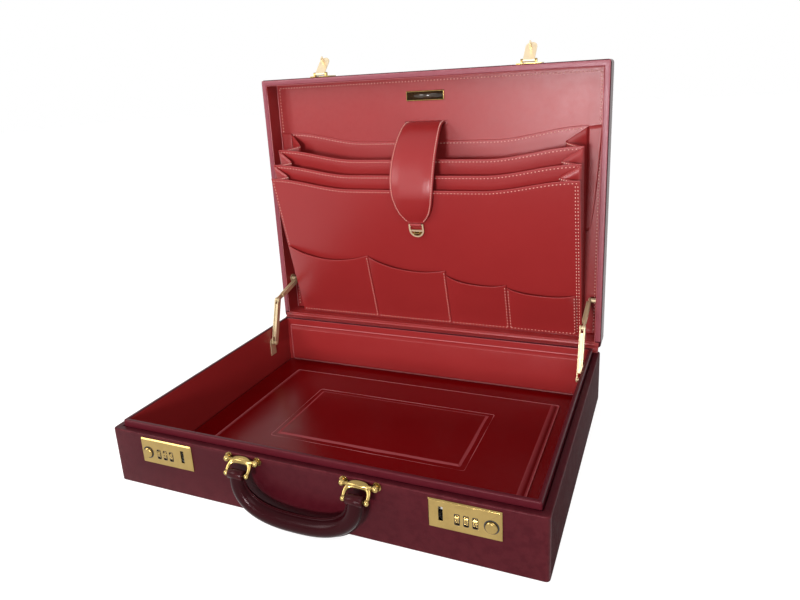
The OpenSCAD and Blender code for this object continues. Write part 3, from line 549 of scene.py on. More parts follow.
def leaf(left, right, bottom, topAt, thickness, frontOf, cells):
    # board of even thickness with half-round rims: x across, z up to topAt(x), y = frontOf(x, z) -+ half
    r = thickness / 2
    x = spanned(left, right, r, cells[0])
    top = topAt(x)
    edge = rimSteps(r)
    even = np.linspace(0, 1, cells[1] + 1)[None, 1:-1]
    middle = bottom + r + even * (top - bottom - 2 * r)[:, None]
    z = np.concatenate([np.tile(bottom + edge, (len(x), 1)), middle, top[:, None] - edge[::-1]], 1)
    across = np.repeat(x[:, None], z.shape[1], 1)
    distance = np.minimum(np.minimum(across - left, right - across), np.minimum(z - bottom, top[:, None] - z))
    half = rimHeight(np.maximum(distance, 0), r)
    y = frontOf(across, z)
    return np.stack([across, y - half, z], -1), np.stack([across, y + half, z], -1)


def tilted(points, y, z, angle):
    # turns local points about X by angle, then puts their origin at (0, y, z)
    c, s = np.cos(angle), np.sin(angle)
    p = np.asarray(points)
    return np.stack([p[..., 0], y + p[..., 1] * c - p[..., 2] * s, z + p[..., 1] * s + p[..., 2] * c], -1)


def smoothChain(points, per):
    # Catmull-Rom curve through the points: cubic between two, by the neighbours' directions
    p = np.asarray(points, float)
    q = np.concatenate([[2 * p[0] - p[1]], p, [2 * p[-1] - p[-2]]])
    t = np.linspace(0, 1, per, endpoint=False)[None, :, None]
    a, b, c, d = (q[k:len(q) - 3 + k][:, None, :] for k in range(4))
    curve = 0.5 * (2 * b + (c - a) * t + (2 * a - 5 * b + 4 * c - d) * t ** 2
                   + (3 * b - a - 3 * c + d) * t ** 3)
    return np.concatenate([curve.reshape(-1, p.shape[1]), p[-1:]])


# the distance to merge, and in degrees what still counts as flat and what as an edge
dressing = {"merge": 0.002 * mm, "flat": 0.6, "edge": 35}


def dressed(node, look, width, segments=3):
    # a merged copy of a rigid node, with its edges rounded
    mesh = nodes[node].data.copy()
    mesh.name = node + "_dressed"
    work = bmesh.new()
    work.from_mesh(mesh)
    bmesh.ops.remove_doubles(work, verts=work.verts, dist=dressing["merge"])
    bmesh.ops.dissolve_limit(
        work, angle_limit=np.radians(dressing["flat"]), verts=work.verts, edges=work.edges,
        delimit={"NORMAL"})
    work.to_mesh(mesh)
    work.free()
    sharp = np.radians(dressing["edge"])
    mesh.shade_smooth()
    mesh.set_sharp_from_angle(angle=sharp)
    mesh.materials.clear()
    mesh.materials.append(finish[look])
    piece = bpy.data.objects.new(node + "_dressed", mesh)
    bpy.context.scene.collection.objects.link(piece)
    bevel = piece.modifiers.new("roundedEdges", "BEVEL")
    bevel.width = width
    bevel.segments = segments
    bevel.limit_method = "ANGLE"
    bevel.angle_limit = sharp
    bevel.harden_normals = True
    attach(piece, nodes[node]["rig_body"])
    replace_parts(piece, node)


def cordAlong(chain, radius, closed, sides=8):
    # a thin round tube along a chain of points: ring by ring, square to the chain
    p = np.asarray(chain, float)
    run = np.roll(p, -1, 0) - np.roll(p, 1, 0) if closed else np.gradient(p, axis=0)
    run /= np.linalg.norm(run, axis=1)[:, None]
    lead = np.where(abs(run[:, 2:]) < 0.8, (0, 0, 1.0), (0, 1.0, 0))
    side = np.cross(run, lead)
    side /= np.linalg.norm(side, axis=1)[:, None]
    w = np.arange(sides) * 2 * np.pi / sides
    grid = (p[:, None] + radius * (np.cos(w)[None, :, None] * side[:, None]
                                   + np.sin(w)[None, :, None] * np.cross(side, run)[:, None]))
    faces = gridQuads(wrapped(numbered(grid), True)).tolist() if closed else tubeFaces(len(p), sides)
    return grid.reshape(-1, 3), faces


def roundedLoop(w, d, r, per=7, along=12):
    # points round a rectangle with rounded corners, in its own plane
    loop = []
    for q in range(4):
        a = np.linspace(0, np.pi / 2, per) + q * np.pi / 2
        sx, sy = ((1, 1), (-1, 1), (-1, -1), (1, -1))[q]
        corner = np.stack([sx * (w / 2 - r) + r * np.cos(a), sy * (d / 2 - r) + r * np.sin(a)], 1)
        if loop:
            loop.append(np.linspace(loop[-1][-1], corner[0], along + 2)[1:-1])
        loop.append(corner)
    loop.append(np.linspace(loop[-1][-1], loop[0][0], along + 2)[1:-1])
    return np.concatenate(loop)


# Stitches: small beads along rows

thread = {"pitch": 4.2 * mm, "length": 1.6 * mm, "radius": 0.6 * mm, "slant": 8.0, "sides": 6}


def rowOfStitches(points, outward, pitch=None):
    # bead centres at even steps along a chain, with the chain's direction and the surface's normal there
    p = np.asarray(points, float)
    n = np.broadcast_to(np.asarray(outward, float), p.shape)
    run = np.concatenate([[0], np.cumsum(np.linalg.norm(np.diff(p, axis=0), axis=1))])
    count = max(2, int(run[-1] / (pitch or thread["pitch"])))
    at = (np.arange(count) + 0.5) * run[-1] / count

    def sample(values, where):
        return np.stack([np.interp(where, run, values[:, k]) for k in range(3)], 1)

    step = run[-1] / count / 4
    along = sample(p, np.minimum(at + step, run[-1])) - sample(p, np.maximum(at - step, 0))
    normal = sample(n, at)
    return [sample(p, at), along / np.linalg.norm(along, axis=1)[:, None],
            normal / np.linalg.norm(normal, axis=1)[:, None]]


def stitches(name, rows, body, scale=1.0):
    # each bead is a short capsule of four rings, sunk to its middle and slanted a little
    centre, along, up = (np.concatenate([row[k] for row in rows]) for k in range(3))
    side = np.cross(up, along)
    slant = np.radians(thread["slant"])
    along, side = along * np.cos(slant) + side * np.sin(slant), side * np.cos(slant) - along * np.sin(slant)
    r, length, sides = thread["radius"] * scale, thread["length"], thread["sides"]
    turn = np.arange(sides) * 2 * np.pi / sides
    reach = np.repeat([-0.5, -0.34, 0.34, 0.5], sides) * length
    width = np.repeat([0.4, 1.0, 1.0, 0.4], sides) * r
    rise = np.repeat([-0.35, 0.25, 0.25, -0.35], sides) * r
    a, b, c = reach, np.tile(np.cos(turn), 4) * width, np.tile(np.sin(turn), 4) * width + rise
    points = (centre[:, None] + a[None, :, None] * along[:, None] + b[None, :, None] * side[:, None]
              + c[None, :, None] * up[:, None])
    one = np.arange(4 * sides).reshape(4, sides)
    quads = gridQuads(wrapped(one), True)
    shift = (np.arange(len(centre)) * 4 * sides)[:, None, None]
    faces = (quads[None] + shift).reshape(-1, 4).tolist()
    faces += (one[0][None] + shift[:, 0]).tolist() + (one[-1][::-1][None] + shift[:, 0]).tolist()
    return newPiece(name, points.reshape(-1, 3), faces, "thread", body)


# Base and lid: leather on board

caseShape = {
    "edge": 1.3 * mm, "boardEdge": 1.6 * mm, "liningEdge": 0.5 * mm, "stitchIn": 3.6 * mm, "stitchScale": 1.2,
}

dressed("base_shell", "outerLeather", caseShape["edge"])
dressed("lid_shell", "lidLeather", caseShape["edge"])
dressed("base_liner", "linerLeather", caseShape["boardEdge"])
dressed("lid_lining", "liningLeather", caseShape["liningEdge"])


def liningStitches():
    # a row up both sides and along the top of the lid's lining, a short way in from its border
    low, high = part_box("lid_lining")
    inset = caseShape["stitchIn"]
    left, right, bottom, top = low.x + inset, high.x - inset, low.z + inset, high.z - inset
    corners = [(left, low.y, bottom), (left, low.y, top), (right, low.y, top), (right, low.y, bottom)]
    rows = [rowOfStitches(np.linspace(a, b, 40), (0, -1, 0)) for a, b in zip(corners, corners[1:])]
    stitches("lining_stitches", rows, "lid", caseShape["stitchScale"])


liningStitches()
print("shells dressed")


# Padded panels, piping, the lid's rim band and the leather over the hinge

pads = {
    "floor": {"rim": 8.5 * mm, "crown": 1.8 * mm, "cell": 7 * mm, "seam": 0.9 * mm, "round": 0.7},
    "middle": {"rim": 9 * mm, "crown": 1.0 * mm, "cell": 6 * mm, "seam": 0.8 * mm, "round": 0.95},
    "backWall": {"rim": 4.5 * mm, "crown": 0.9 * mm, "cell": 7 * mm, "seam": 0.6 * mm, "round": 0.6},
    "lining": {"rim": 1.2 * mm, "crown": 0.0, "cell": 12 * mm, "seam": 0.0, "round": 0.5},
    "wave": 0.16 * mm, "aside": {"floor_pad": 3.5 * mm, "floor_middle": 4.5 * mm},
    # shares of the rim at which its slope is sampled
    "steps": [0, 0.02, 0.06, 0.11, 0.16, 0.21, 0.26, 0.34, 0.45, 0.56, 0.67, 0.78, 0.88, 0.95, 1, 1.08],
}
# the cord's heights off the floor and off the wall are in radii
piping = {"radius": 0.6 * mm, "corner": 2.5 * mm, "offFloor": 1.6, "offWall": 1.3}


def padGrid(w, d, t, look):
    # height = a small bead at the foot, a sloped rim up to the panel, then a crown that grows inwards
    rim, seam, crown = look["rim"], look["seam"], look["crown"]
    steps = rim * np.array(pads["steps"])

    def places(half, count):
        even = np.linspace(steps[-1] - half, half - steps[-1], count + 1)[1:-1]
        return np.concatenate([steps - half, even, half - steps[::-1]])

    x, y = places(w / 2, int(w / look["cell"])), places(d / 2, int(d / look["cell"]))
    across, deep = np.meshgrid(x, y, indexing="ij")
    distance = np.minimum(w / 2 - abs(across), d / 2 - abs(deep))
    share = np.clip((distance / rim - 0.24) / 0.76, 0, 1)
    slope = (1 - (1 - share) ** 2) * (1 - look["round"]) + look["round"] * share
    bead = np.sqrt(np.maximum(0, 1 - (distance / rim / 0.12 - 1) ** 2)) * seam
    foot = np.clip(distance / rim / 0.05, 0, 1) * 0.25 * seam
    inner = np.clip((distance - rim) / (d / 2 - rim), 0, 1)
    waves = np.sin(across * 41 + 1.3) * np.cos(deep * 53 + 0.4) + 0.6 * np.sin(across * 97 - deep * 71)
    soft = crown * (1 - (1 - inner) ** 2.2) + pads["wave"] * waves * inner ** 0.5 * (crown > 0)
    rise = np.maximum(bead, foot + (t - foot) * slope)
    return np.stack([across, deep, rise + soft], -1), np.stack([across, deep, np.zeros_like(across)], -1)


def floorPanel(node, key, look):
    # a flat pad on the floor, with its place taken from its solid
    low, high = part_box(node)
    size = high - low
    middle = np.array([(low.x + high.x) / 2 + pads["aside"].get(node, 0), (low.y + high.y) / 2, low.z])
    top, under = padGrid(size.x, size.y, size.z, pads[key])
    piece = newPiece(node + "_pad", *slab(top + middle, under + middle), look, "base")
    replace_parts(piece, node)


def backWallPanel():
    # the panel's own up is the case's -Y, and its own depth is the case's Z
    low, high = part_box("back_wall_pad")
    size, middle = high - low, (low + high) / 2

    def stood(p):
        return np.stack([p[..., 0] + middle.x, high.y - p[..., 2], p[..., 1] + middle.z], -1)

    top, under = padGrid(size.x, size.z, size.y, pads["backWall"])
    piece = newPiece("back_wall_panel", *slab(stood(top), stood(under)), "liningLeather", "base")
    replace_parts(piece, "back_wall_pad")


def pipedEdge(node, look, upright=False):
    # a fine cord round the foot of a pad, in a pale shade that paints the highlight along it
    low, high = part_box(node)
    size, middle, r = high - low, (low + high) / 2, piping["radius"]
    flat = roundedLoop(size.x - 2 * r, (size.z if upright else size.y) - 2 * r, piping["corner"])
    x = flat[:, 0] + middle.x + pads["aside"].get(node, 0)
    if upright:
        chain = np.stack([x, np.full(len(flat), high.y - piping["offWall"] * r), flat[:, 1] + middle.z], 1)
    else:
        chain = np.stack([x, flat[:, 1] + middle.y, np.full(len(flat), low.z + piping["offFloor"] * r)], 1)
    newPiece(node + "_piping", *cordAlong(chain, r, True), look, "base")


lidEdge = {
    # half width, foot and top of the piping, and how far each of its two cords lies out and shrinks
    "inner": 213.0 * mm, "bottom": 70.4 * mm, "top": 385.5 * mm,
    "rimCord": (0.9 * mm, 0), "footCord": (-0.1 * mm, 0.9 * mm),
    # the band's foot, and its section: inset from the lid's outer edge, and height on the rim
    "foot": 71 * mm,
    "section": [(0.9, 0.0), (1.0, 0.12), (1.35, 0.22), (3.5, 0.24), (6.2, 0.22), (6.5, 0.12), (6.6, 0.0)],
}


def lidPiping():
    # fine cords along the inner edge of the lid's rim, pale pink as a painted highlight
    s = lidEdge
    inner, top, bottom = s["inner"], s["top"], s["bottom"]
    chain = [(-inner, bottom), (-inner, top), (inner, top), (inner, bottom)]
    points = [np.linspace(a, b, 24)[:-1] for a, b in zip(chain, chain[1:])]
    points = np.concatenate(points + [np.array(chain[-1:])])
    for name, node in (("rim", "lid_shell"), ("foot", "lid_lining")):
        out, shrink = s[name + "Cord"]
        flat = points * (1 - shrink / inner, 1) - (0, shrink * 0.5)
        line = np.stack([flat[:, 0], np.full(len(flat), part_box(node)[0].y + out), flat[:, 1]], 1)
        newPiece("lid_piping_" + name, *cordAlong(line, piping["radius"], False), "piping", "lid")


def rimBand():
    # a leather strip laid round the lid's rim, with its corners mitred; its paler colour is painted sheen
    low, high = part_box("lid_shell")
    d, lift = np.array(lidEdge["section"]).T * mm
    left, right, y = low.x + d, high.x - d, low.y - lift
    foot = np.full_like(d, lidEdge["foot"])
    grid = np.stack([np.stack([left, left, right, right], 1), np.repeat(y[:, None], 4, 1),
                     np.stack([foot, high.z - d, high.z - d, foot], 1)], -1)
    newPiece("lid_rim_band", grid.reshape(-1, 3), gridQuads(numbered(grid)), "rimLeather", "lid", 60)


rimBand()
lidPiping()
floorPanel("floor_lining", "lining", "floorLeather")
pipedEdge("floor_pad", "dustyPiping")
pipedEdge("floor_middle", "dustyPiping")
pipedEdge("back_wall_pad", "piping", True)
floorPanel("floor_pad", "floor", "floorLeather")
floorPanel("floor_middle", "middle", "floorLeather")
backWallPanel()


hingeCover = {
    "half": 217.5 * mm, "columns": 61, "thickness": 0.3 * mm,
    "start": (0, 0.1625, 0.0603), "end": (0, 0.1673, 0.0645),
    # (y, z) from the ledge, over the knuckles, up the lid's rim, with two soft ridges
    "path": [
        (158.8, 60.22), (160.6, 60.24), (162.4, 60.28), (163.8, 60.5), (164.5, 61.3), (165.0, 62.4),
        (165.9, 63.2), (166.9, 63.6), (167.2, 64.3), (166.9, 65.2), (166.7, 66.0), (167.0, 66.9),
        (167.3, 67.8), (167.3, 69.6)],
}


def makeHingeCover():
    # the path carried along X
    s = hingeCover
    yz = smoothChain(np.array(s["path"], float) * mm, 4)
    x, y = np.meshgrid(np.linspace(-s["half"], s["half"], s["columns"]), yz[:, 0], indexing="ij")
    grid = np.stack([x, y, np.broadcast_to(yz[:, 1], x.shape)], -1)
    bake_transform(thinSheet("hinge_cover", grid, s["thickness"]))


makeHingeCover()
print("padded panels made")


# Expanding file: sheets, side folds and small pockets

fileShape = {
    "width": 392 * mm, "thickness": 1.4 * mm, "pivotY": [191.9, 188.9, 185.9, 182.9], "pivotZ": 71.4 * mm,
    "length": [251, 234, 219, 204], "lean": [0, 8, 12, 14.5], "dip": 14 * mm, "flat": 0.42,
    "names": ["file_back", "file_divider_1", "file_divider_2", "file_front"],
    "bodies": ["lid", "file_divider_1", "file_divider_2", "file_front"],
    "stitchIn": 3.2 * mm, "rowEnd": 2 * mm, "sideRows": (2.6 * mm, 5.4 * mm), "wave": 0.25 * mm,
    "cells": (72, 30),
}


def topEdge(x, k):
    # level in the middle, then half a cosine up to the full height at the sides
    u = abs(x) / (fileShape["width"] / 2)
    flat = fileShape["flat"]
    bend = np.where(u < flat, 1, (1 + np.cos(np.pi * (u - flat) / (1 - flat))) / 2)
    return fileShape["length"][k] * mm - fileShape["dip"] * bend


def onSheet(points, k):
    return tilted(points, fileShape["pivotY"][k] * mm, fileShape["pivotZ"], np.radians(fileShape["lean"][k]))


def sheetNormal(k):
    a = np.radians(fileShape["lean"][k])
    return np.array([0, -np.cos(a), -np.sin(a)])


def makeSheets():
    s = fileShape
    half, face = s["width"] / 2, -s["thickness"] / 2
    for k, (name, body) in enumerate(zip(s["names"], s["bodies"])):
        front, back = leaf(-half, half, 0, lambda x: topEdge(x, k), s["thickness"],
                           lambda x, z: s["wave"] * np.sin(x * 23 + k) * np.sin(z * 14), s["cells"])
        piece = newPiece(name + "_leaf", *slab(onSheet(front, k), onSheet(back, k)), "liningLeather", body)
        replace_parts(piece, name)
        x = np.linspace(s["rowEnd"] - half, half - s["rowEnd"], 160)
        line = np.stack([x, np.full_like(x, face), topEdge(x, k) - s["stitchIn"]], 1)
        rows = [rowOfStitches(onSheet(line, k), sheetNormal(k))]
        if k == 3:
            rows += frontRows(half, face, k)
        stitches(name + "_stitches", rows, body)


def frontRows(half, face, k):
    # rows down both sides of the front panel, and a second one on the right
    s = fileShape
    near, far = s["sideRows"]
    rows = []
    for x in (near - half, half - near, half - far):
        top = float(topEdge(np.array([x]), k)[0]) - s["stitchIn"] - s["rowEnd"]
        line = np.linspace((x, face, 3 * mm), (x, face, top), 20)
        rows.append(rowOfStitches(onSheet(line, k), sheetNormal(k)))
    return rows


makeSheets()

foldShape = {
    "depth": 22 * mm, "clear": 1.0 * mm, "edge": 0.5 * mm, "thickness": 0.8 * mm, "droop": 5 * mm,
    "rows": 26, "columns": 17, "seamDown": 1.8 * mm, "seamOut": 0.4 * mm, "seamPitch": 2.6 * mm,
    # each fold's sheet, with its lean, pivot, share behind it and reach
    "follow": [("file_divider_1", 4, 190.4, 0.5, 35), ("file_divider_2", 8, 188.9, 0.64, 50),
               ("file_front", 12, 185.9, 0.77, 78)],
}


def edgeOf(k, share, forward):
    # points on a sheet's side edge, at shares of its length, a little in front of it
    a = np.radians(fileShape["lean"][k])
    run = 1 * mm + (fileShape["length"][k] * mm - 1 * mm) * share
    y = fileShape["pivotY"][k] * mm - run * np.sin(a) - forward / np.cos(a)
    return np.stack([y, fileShape["pivotZ"] + run * np.cos(a)], -1)


def foldGrid(side, k):
    # across = a soft V from one sheet's edge to its tip and back; up = shares of the sheets' length
    share = np.linspace(0.004, 0.995, foldShape["rows"])[:, None, None]
    u = np.linspace(0, 1, foldShape["columns"])[None, :, None]
    rear = edgeOf(k, share[:, :, 0], foldShape["clear"])
    front = edgeOf(k + 1, share[:, :, 0], -foldShape["clear"])
    yz = rear * (1 - u) + front * u
    deep = 1 - abs(2 * u[..., 0] - 1) ** 1.08
    outer = fileShape["width"] / 2 - foldShape["edge"]
    x = side * (outer - foldShape["depth"] * deep * (0.8 + 0.2 * share[..., 0]))
    z = yz[..., 1] - foldShape["droop"] * deep * share[..., 0] ** 6
    return np.stack([np.broadcast_to(x, z.shape), yz[..., 0], z], -1)


def makeFolds():
    s = foldShape
    for side, word in ((-1, "left"), (1, "right")):
        for k in range(3):
            name = "fold_%s_%d" % (word, k + 1)
            grid = foldGrid(side, k)
            piece = thinSheet(name, grid, s["thickness"], side < 0)
            top = grid[-1] - np.array([0, 0, s["seamDown"]])
            across = np.cross(np.gradient(top, axis=0), (0, 0, 1.0))
            across = across / np.linalg.norm(across, axis=1)[:, None] * side
            row = rowOfStitches(top + across * s["seamOut"], across, s["seamPitch"])
            follow(piece)
            follow(stitches(name + "_stitches", [row], None))
        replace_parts(bpy.data.objects["fold_%s_1" % word], "file_gusset_" + word)


def follow(piece):
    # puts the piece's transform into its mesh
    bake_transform(piece)


makeFolds()


wingShape = {
    "low": 200 * mm, "high": 321.5 * mm, "inner": 195.4 * mm, "outer": 199 * mm, "flare": 12.2 * mm,
    "off": 1.4 * mm, "curl": 0.9 * mm, "lift": 1.6 * mm, "thickness": 0.8 * mm,
}


def makeWings():
    # a strip of leather from the back sheet's side edge to the lid's wall, wider at its top
    s = wingShape
    z = np.linspace(s["low"], s["high"], 26)
    share = ((z - z[0]) / (z[-1] - z[0]))[:, None]
    u = np.linspace(0, 1, 9)[None]
    x = s["inner"] + (s["outer"] + s["flare"] * share ** 0.55 - s["inner"]) * u
    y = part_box("lid_lining")[0].y - s["off"] + s["curl"] * (1 - u) * share
    for side, word in ((-1, "left"), (1, "right")):
        grid = np.stack([side * x, y, z[:, None] + s["lift"] * u * share], -1)
        thinSheet("file_wing_" + word, grid, s["thickness"], side < 0, "lid")


makeWings()
print("file made")

pocketShape = {
    "edges": [-194, -75, 30, 107, 190], "tops": [(106, 97, 11), (95, 81, 7), (74, 66, 4), (62, 58, 3)],
    "mouth": 8 * mm, "foot": 1.4 * mm, "wall": 1.2 * mm, "gap": 0.1 * mm, "bottom": 0.4 * mm,
    "cells": (48, 22), "sideRow": 1.9 * mm, "footRow": 2.6 * mm,
}


def makePocket(n):
    # the front of a pocket stands off the panel in the middle and comes back to it at its sewn sides
    s = pocketShape
    left, right = s["edges"][n] * mm + s["gap"], s["edges"][n + 1] * mm - s["gap"]
    a, b, dip = (v * mm for v in s["tops"][n])
    wall, highest = s["wall"], max(a, b)
    panel = -fileShape["thickness"] / 2 - wall / 2 - (s["foot"] - wall)

    def topAt(x):
        u = (x - left) / (right - left)
        return a + (b - a) * u - dip * np.sin(np.pi * u)

    def stand(x, z):
        u = np.clip((x - left) / (right - left), 0, 1)
        bulge = 1 - abs(2 * u - 1) ** 3.5
        return panel - s["mouth"] * (z / highest) * (0.12 + 0.8 * bulge)

    def row(x, z):
        line = np.stack([x + 0 * z, stand(x, z) - wall / 2, z + 0 * x], 1)
        return rowOfStitches(onSheet(line, 3), sheetNormal(3))

    front, back = leaf(left, right, s["bottom"], topAt, wall, stand, s["cells"])
    name = "card_pocket_%d" % (n + 1)
    faces = slab(onSheet(front, 3), onSheet(back, 3))
    piece = newPiece(name + "_leaf", *faces, "liningLeather", "file_front")
    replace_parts(piece, name)
    inset = s["sideRow"]
    rows = [row(x, np.linspace(2 * mm, float(topAt(x)) - 2 * mm, 24))
            for x in ((left + inset, right - inset) if n == 3 else (right - inset,))]
    rows.append(row(np.linspace(left + 1 * mm, right - 1 * mm, 60), s["footRow"]))
    stitches(name + "_stitches", rows, "file_front")


for n in range(4):
    makePocket(n)


# Strap with its ring

strapShape = {
    "width": 62 * mm, "thickness": 2.6 * mm, "slotZ": 330.3 * mm, "lining": 192.6 * mm,
    "ringUp": 146.4 * mm, "endOut": 3.6 * mm, "endUp": 0.4 * mm,
    # shares of the way forward to the ring, of the drop to it, and of the width
    "path": [
        (-0.024, 0, 0.8), (0.06, -0.002, 0.8), (0.2, 0.006, 0.81), (0.36, 0.034, 0.83),
        (0.54, 0.09, 0.86), (0.74, 0.178, 0.89), (0.94, 0.29, 0.91), (1.1, 0.42, 0.92),
        (1.2, 0.557, 0.91), (1.22, 0.685, 0.87), (1.16, 0.796, 0.79), (1.088, 0.89, 0.66),
        (1.024, 0.957, 0.48), (1, 0.992, 0.33)],
    "start": (0, 0.1926, 0.3303), "end": (0, 0.142, 0.250),
    # the groove: depth, way in from the edge, width; the pad: height, way to its top, least half width for it
    "groove": 0.35 * mm, "grooveIn": 3.4 * mm, "grooveWide": 0.9 * mm,
    "pad": 0.9 * mm, "padSlope": 9 * mm, "padFull": 20 * mm, "stitchIn": 2.0 * mm, "pitch": 2.9 * mm,
}
# a band's radii, half width and cut-back edges, with further points on its crest
strapEnd = {
    "outer": 2.35 * mm, "inner": 1.35 * mm, "half": 7.2 * mm, "cut": 0.4 * mm, "between": (), "sides": 24,
    "place": (0, -3.9 * mm, 145.5 * mm),
}


def strapStations():
    # middle points, outward normals and half widths along the strap
    s = strapShape
    a = np.radians(fileShape["lean"][3])
    endY = fileShape["pivotY"][3] * mm - s["ringUp"] * np.sin(a) - s["endOut"]
    endZ = fileShape["pivotZ"] + s["ringUp"] * np.cos(a) + s["endUp"]
    share = np.array(s["path"], float)
    chain = np.stack([s["lining"] - share[:, 0] * (s["lining"] - endY),
                      s["slotZ"] - share[:, 1] * (s["slotZ"] - endZ), share[:, 2] * s["width"] / 2], 1)
    chain = smoothChain(chain, 6)
    yz, half = chain[:, :2], np.maximum(chain[:, 2], 5 * mm)
    run = np.gradient(yz, axis=0)
    run /= np.linalg.norm(run, axis=1)[:, None]
    return yz, np.stack([run[:, 1], -run[:, 0]], 1), half


def strapFront(x, half, t):
    # height of the front above the middle line: rim, stitched groove, padded middle
    s = strapShape
    inner = half - abs(x)
    deep = inner - s["grooveIn"]
    groove = s["groove"] * np.exp(-(deep / s["grooveWide"]) ** 2)
    pad = s["pad"] * np.clip(deep / s["padSlope"], 0, 1) ** 0.8 * np.clip(half / s["padFull"], 0, 1)
    return rimHeight(np.maximum(inner, 0), t / 2) - groove * (inner > t / 2) + pad


def makeStrap():
    s = strapShape
    t = s["thickness"]
    yz, normal, half = strapStations()
    edge = rimSteps(t / 2) / (s["width"] / 2)
    u = np.concatenate([-1 + edge, np.linspace(-0.94, 0.94, 31), 1 - edge[::-1]])
    x = half[:, None] * u[None]
    rise = strapFront(x, half[:, None], t)
    back = -rimHeight(np.maximum(half[:, None] - abs(x), 0), t / 2)
    front = np.stack([x, yz[:, :1] + rise * normal[:, :1], yz[:, 1:] + rise * normal[:, 1:]], -1)
    rear = np.stack([x, yz[:, :1] + back * normal[:, :1], yz[:, 1:] + back * normal[:, 1:]], -1)
    loop = np.concatenate([front, rear[:, ::-1][:, 1:-1]], 1)
    piece = newPiece("strap_leather", loop.reshape(-1, 3), tubeFaces(*loop.shape[:2]), "liningLeather")
    rows = []
    keep = slice(2, len(half) - 3)
    for side in (-1, 1):
        at = side * (half[keep] - s["stitchIn"])
        up = strapFront(at, half[keep], t)
        line = np.stack([at, yz[keep, 0] + up * normal[keep, 0], yz[keep, 1] + up * normal[keep, 1]], 1)
        outward = np.stack([np.zeros_like(at), normal[keep, 0], normal[keep, 1]], 1)
        rows.append(rowOfStitches(line, outward, s["pitch"]))
    seam = stitches("strap_stitches", rows, None, 1.1)
    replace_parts(piece, "strap")
    for part in (piece, seam):
        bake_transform(part)


def strapLoop():
    # the strap's end, turned round the ring's top bar
    closedBand("strap_loop", onSheet(bandGrid(strapEnd, strapEnd["place"]), 3), "liningLeather", "file_front")


makeStrap()
strapLoop()
print("strap made")


# Handle: a padded grip on a squared arch, with a seam along its edges

gripShape = {
    "span": 120 * mm, "drop": 47 * mm, "height": 19 * mm, "depth": 17 * mm, "tabWidth": 16 * mm,
    "tabDepth": 8 * mm, "square": 2.5, "axis": (-177.768 * mm, 47.232 * mm), "flange": 1.2 * mm, "rings": 110,
}
gripEnd = {
    "outer": 4.8 * mm, "inner": 1.62 * mm, "half": gripShape["tabWidth"] / 2, "cut": 0.8 * mm,
    "between": (0,), "sides": 32,
}


def archPoints(t):
    # squared arch: x = half span * sin^e, z = -sag * cos^e
    g = gripShape
    e = 2 / g["square"]
    sag = g["drop"] - g["height"] / 2
    x = g["span"] / 2 * np.sign(np.sin(t)) * abs(np.sin(t)) ** e
    return np.stack([x, -sag * abs(np.cos(t)) ** e], -1)


def gripStations():
    # middle points, normals, half heights and half depths along the arch
    g = gripShape
    t = np.radians(np.linspace(-90, 90, g["rings"]))
    step = np.radians(1.0)
    run = archPoints(np.minimum(t + step, np.pi / 2)) - archPoints(np.maximum(t - step, -np.pi / 2))
    normal = np.stack([-run[:, 1], run[:, 0]], -1)
    normal /= np.linalg.norm(normal, axis=1)[:, None]
    swell = abs(np.cos(t)) ** 0.5
    a = (g["tabWidth"] + (g["height"] - g["tabWidth"]) * swell) / 2
    b = (g["tabDepth"] + (g["depth"] - g["tabDepth"]) * swell) / 2
    return archPoints(t), normal, a, b


def gripSection():
    # across = shares of the half height; thick = shares of the half depth; flat = where the sewn edges lie
    p = np.array([0, 0.12, 0.25, 0.38, 0.5, 0.61, 0.7, 0.76, 0.8, 0.825, 0.85, 0.88, 0.92, 0.96, 0.985, 1])
    thick = np.sqrt(np.maximum(0, 1 - (p / 0.83) ** 2.2))
    flat = np.sqrt(np.maximum(0, 1 - (np.maximum(p - 0.92, 0) / 0.08) ** 2))
    half = np.concatenate([-p[:0:-1], p])
    both = [np.concatenate([v[:0:-1], v]) for v in (thick, flat)]
    across = np.concatenate([half, half[-2:0:-1]])
    thick, flat = (np.concatenate([v, -v[-2:0:-1]]) for v in both)
    return across, thick, flat


def makeGrip():
    # section = an oval core between two thin sewn edges, on the inside and the outside of the arch
    g = gripShape
    place, normal, a, b = gripStations()
    share, thick, flat = gripSection()
    core, edge = b[:, None] * thick, g["flange"] * flat
    depth = np.where(thick >= 0, np.maximum(core, edge), np.minimum(core, edge))
    depth = np.where(np.isclose(flat, 0), 0, np.where(flat < 0, -abs(depth), abs(depth)))
    across = a[:, None] * share[None]
    x = place[:, :1] + normal[:, :1] * across
    z = place[:, 1:] + normal[:, 1:] * across + g["axis"][1]
    loop = np.stack([x, depth + g["axis"][0], z], -1)
    faces = [f[::-1] for f in tubeFaces(*loop.shape[:2])]
    piece = newPiece("grip_leather", loop.reshape(-1, 3), faces, "gripLeather", "handle")
    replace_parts(piece, "handle")


def gripLoops():
    # the handle's ends, turned round their pins
    for side, word in ((-1, "left"), (1, "right")):
        centre = (side * gripShape["span"] / 2, *gripShape["axis"])
        closedBand("grip_loop_" + word, bandGrid(gripEnd, centre), "gripLeather", "handle")


makeGrip()
gripLoops()
print("handle made")


# Metal fittings

